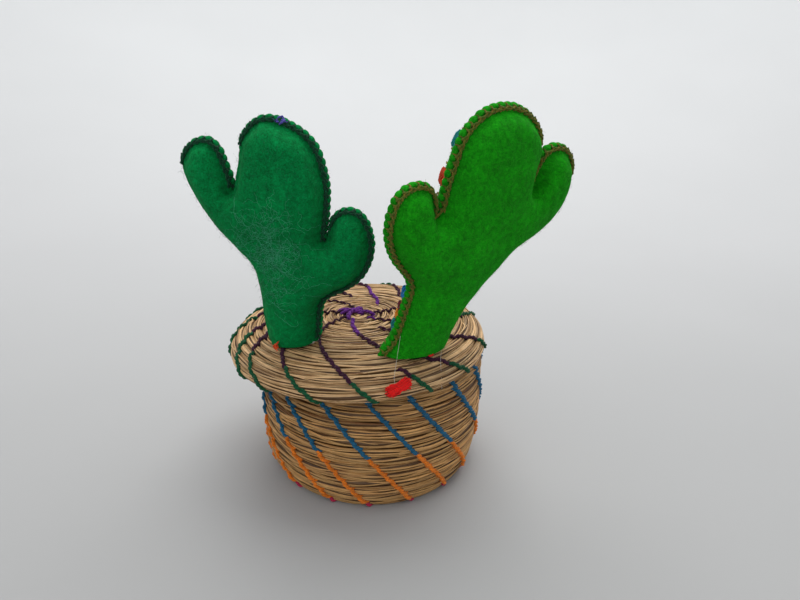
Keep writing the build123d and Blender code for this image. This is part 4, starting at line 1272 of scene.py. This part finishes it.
st = dark[1]
knot("dark_cactus_violet_knot", st.world(2.9, 73.1, 1.0), st.n * 0.6 + st.k * 0.8, (0.10, 0.09, 0.42), 1.25,
     [st.t * 1.6 - st.k * 0.7 + st.n * 0.3, -st.t * 1.3 - st.k * 0.1 + st.n * 0.5], "dark_cactus_top_knot")
knot("dark_cactus_vermilion_knot", (-32.6, -28.3, 57.5), (0.1, -0.7, 0.7), (0.85, 0.09, 0.015), 0.75,
     [np.array([0.7, -0.2, 1.3]), np.array([0.3, -0.7, -0.7])], "dark_cactus_foot_knot")

# red thread under the bright cactus
S = Strands()
plane = light[4]
pts = []
for u in np.linspace(0.4, 5.4, 12):
    for w in np.arange(-4.0, 4.0, 0.25):
        hit = on_face(light[3], light[1], u, w, 1)
        if hit is not None and (hit[0] - plane[0]) @ plane[1] > 0.12:
            pts.append(hit[0] + light[1].n * (0.30 + 0.12 * math.sin(u * 2.2)) + LZ * 0.1 * math.sin(u * 3.1))
            break
twisted(S, np.array(pts), (0, -0.5, 0.8), 0.42, pitch=2.0, color=RED)
o = S.make("light_cactus_red_thread", YARN)
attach(o, "lid"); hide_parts("light_cactus_foot_thread")

# short frayed tuft of red yarn in the rim
S = Strands()
(tp, tn) = lid_at(49.2)
ta = math.radians(-73.2)
mid = to_world(np.array([tp[0] + tn[0] * 0.9]), np.array([ta]), np.array([tp[1] + tn[1] * 0.9]), True)[0]
out = dir_world(np.array([tn[0]]), np.array([ta]), np.array([tn[1]]), True)[0]
side = np.array([-math.sin(ta), math.cos(ta), 0])
axis = unit(side * 0.92 + np.array([0, 0, 1]) * 0.40)
cross = unit(np.cross(axis, out))
for k in range(120):
    a, b = rng.normal(size=2)
    a, b = np.clip([a, b], -1.6, 1.6) * 0.62
    L0, L1 = rng.uniform(2.4, 5.0) * (1 - 0.28 * abs(a)), rng.uniform(2.4, 4.9) * (1 - 0.28 * abs(a))
    s = np.linspace(-1, 1, 9)
    squeeze = 0.80 + 0.35 * np.abs(s) ** 1.3
    along = np.where(s < 0, s * L0, s * L1)
    path = mid + axis * along[:, None] + cross * (a * squeeze * 1.55)[:, None] \
        + out * (0.15 + abs(b) * 1.15 - 0.55 * np.abs(s) ** 2)[:, None] \
        + cross * (0.22 * np.sin(s * 4 + k) + 0.12 * np.sin(s * 9 + 2 * k))[:, None]
    S.tube(path, 0.20, sides=4, normal=out, color=np.array(RED) * rng.uniform(0.85, 1.15))
o = S.make("red_tuft", YARN)
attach(o, "lid"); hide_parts("red_yarn_tuft")


def glue_pad(name, stand, plane, half_u, half_v, cad):
    """A squeezed bead of set glue round the foot."""
    st = Stand(stand)
    u = unit(np.array([st.t[0], st.t[1], 0.0]))
    v = np.cross([0, 0, 1.0], u)
    bm_v, bm_f = [], []
    N, M = 56, 7
    for i in range(N):
        a = 2 * math.pi * i / N
        rr = 1 + 0.05 * math.sin(3 * a + 1) + 0.04 * math.sin(7 * a) + 0.02 * math.sin(13 * a + 2)
        for j in range(M):
            ph = math.pi * j / (M - 1)
            rad = math.sin(ph) * 0.75
            z = math.cos(ph) * 0.55
            c = u * math.cos(a) * (half_u * rr - 0.8 + rad) + v * math.sin(a) * (half_v * rr - 0.8 + rad)
            p = plane[0] + c + np.array([0, 0, -0.15])
            p = p - ((c @ plane[1]) / plane[1][2]) * np.array([0, 0, 1.0])
            bm_v.append((p + np.array([0, 0, z])) * MM)
    for i in range(N):
        for j in range(M - 1):
            i2 = (i + 1) % N
            bm_f.append((i * M + j, i2 * M + j, i2 * M + j + 1, i * M + j + 1))
    bm_f.append(tuple(i * M for i in range(N))[::-1])
    bm_f.append(tuple(i * M + M - 1 for i in range(N)))
    me = bpy.data.meshes.new(name)
    me.from_pydata([Vector(p) for p in bm_v], [], bm_f)
    me.update()
    me.shade_smooth()
    ob = bpy.data.objects.new(name, me)
    scene.collection.objects.link(ob)
    me.materials.append(GLUE)
    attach(ob, "lid"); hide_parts(cad)
    return ob


glue_pad("dark_cactus_glue_bead", DARK_STAND, dark[4], 7.4, 5.0, "dark_cactus_glue")
glue_pad("light_cactus_glue_bead", LIGHT_STAND, light[4], 8.6, 5.2, "light_cactus_glue")

# hair-thin strings of glue pulled from the foot to the rim
S = Strands()


def rim_point(length, deg, lift):
    p, n = lid_at(length)
    a = np.array([math.radians(deg)])
    return to_world(np.array([p[0] + n[0] * lift]), a, np.array([p[1] + n[1] * lift]), True)[0]


starts = []
for u, w in ((-8.3, 6.0), (9.6, 4.4)):
    hit = on_face(light[3], light[1], u, w, 1)
    starts.append(hit[0] + hit[1] * 0.25)
knee = rim_point(46.0, -74.0, 0.5)
knee2 = rim_point(44.5, -51.0, 0.9)
for p, q, sag in ((starts[0], knee, 0.3), (knee, rim_point(50.0, -74.5, 0.6), 0.15),
                  (starts[1], knee2, 0.3), (knee2, rim_point(54.0, -54.0, 0.3), 0.25)):
    s = np.linspace(0, 1, 14)[:, None]
    up = np.array([0, -0.6, 0.5])
    path = p + (q - p) * s + up * (np.sin(s * math.pi) * sag)
    S.tube(path, 0.065, sides=5, color=(0.9, 0.9, 0.9))
o = S.make("glue_strings", GLUE)
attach(o, "lid")


# ---------------------------------------------------------------------------
# Stage, light and camera
# ---------------------------------------------------------------------------
me = bpy.data.meshes.new("paper_sheet")
vs, fs = [(0.0, 0.0, 0.0)], []
prof = [(0.12, 0.0), (0.3, 0.0), (0.45, 0.01), (0.62, 0.045), (0.78, 0.11), (0.92, 0.21), (1.04, 0.34), (1.14, 0.5),
        (1.20, 0.65), (1.22, 0.8)]
N = 96
for r, z in prof:
    vs += [(r * math.cos(2 * math.pi * i / N), r * math.sin(2 * math.pi * i / N), z) for i in range(N)]
for i in range(N):
    fs.append((0, 1 + i, 1 + (i + 1) % N))
for k in range(len(prof) - 1):
    for i in range(N):
        j = (i + 1) % N
        fs.append((1 + k * N + i, 1 + (k + 1) * N + i, 1 + (k + 1) * N + j, 1 + k * N + j))
me.from_pydata(vs, [], fs)
me.shade_smooth()
sheet = bpy.data.objects.new("paper_sheet", me)
scene.collection.objects.link(sheet)
sheet.location.z = -0.0002
m, nt, b = material("pale_sheet_painted_shade")
tc = node(nt, "ShaderNodeTexCoord")
soft = noise(nt, tc.outputs["Object"], 5.0, 2.0)
sep = node(nt, "ShaderNodeSeparateXYZ")
nt.links.new(tc.outputs["Object"], sep.inputs["Vector"])
# painted shade: the sheet is coloured darker towards the camera, darkest just in front of the basket, and lighter
# towards the back
painted_shade_along_y = node(nt, "ShaderNodeMapRange")
painted_shade_along_y.inputs["From Min"].default_value = -1.6
painted_shade_along_y.inputs["From Max"].default_value = 0.8
nt.links.new(sep.outputs["Y"], painted_shade_along_y.inputs["Value"])
c = ramp(nt, soft, [(0.3, (0.97, 0.97, 0.97)), (0.7, (1.0, 1.0, 1.0))])
g = ramp(nt, painted_shade_along_y.outputs["Result"], [(0.0, (0.66, 0.665, 0.67)), (0.4, (0.50, 0.503, 0.507)), (0.583, (0.37, 0.373, 0.375)), (0.667, (0.425, 0.43, 0.433)), (0.79, (0.54, 0.547, 0.555)), (1.0, (0.66, 0.675, 0.685))])
c = mix(nt, "MULTIPLY", 1.0, g, c)
nt.links.new(c, b.inputs["Base Color"])
b.inputs["Roughness"].default_value = 0.65
b.inputs["Specular IOR Level"].default_value = 0.25
me.materials.append(m)


def area(name, loc, target, size, power, colour):
    d = bpy.data.lights.new(name, "AREA")
    d.shape = "RECTANGLE"
    d.size, d.size_y = size
    d.energy = power
    d.color = colour
    o = bpy.data.objects.new(name, d)
    scene.collection.objects.link(o)
    o.location = loc
    o.rotation_euler = (Vector(target) - Vector(loc)).to_track_quat("-Z", "Y").to_euler()
    return o


area("key", (0.08, 0.36, 1.10), (0, 0.12, 0.03), (1.1, 0.8), 9.0, (1.0, 0.99, 0.97))
area("fill", (-0.45, -0.8, 0.8), (0, 0, 0.07), (0.9, 0.7), 1.6, (1.0, 0.99, 0.97))
world = bpy.data.worlds.new("room") if scene.world is None else scene.world
scene.world = world
world.use_nodes = True
bg = world.node_tree.nodes["Background"]
bg.inputs["Color"].default_value = (0.98, 0.985, 1.0, 1)
bg.inputs["Strength"].default_value = 0.74

cam_data = bpy.data.cameras.new("camera")
cam = bpy.data.objects.new("camera", cam_data)
scene.collection.objects.link(cam)
scene.camera = cam
cam_data.sensor_width = 36
cam_data.lens = 27
cam_data.clip_start = 0.01
cam_data.dof.use_dof = False
fw = Vector((0.0425, 0.9348, -0.3527)).normalized()
up = Vector((-0.0213, 0.3538, 0.9351))
right = fw.cross(up).normalized()
up = right.cross(fw).normalized()
rot = Matrix((right, up, -fw)).transposed().to_4x4()
rot.translation = Vector((0.0, -0.2113, 0.1441))
cam.matrix_world = rot

scene.view_settings.view_transform = "Standard"
scene.view_settings.look = "None"
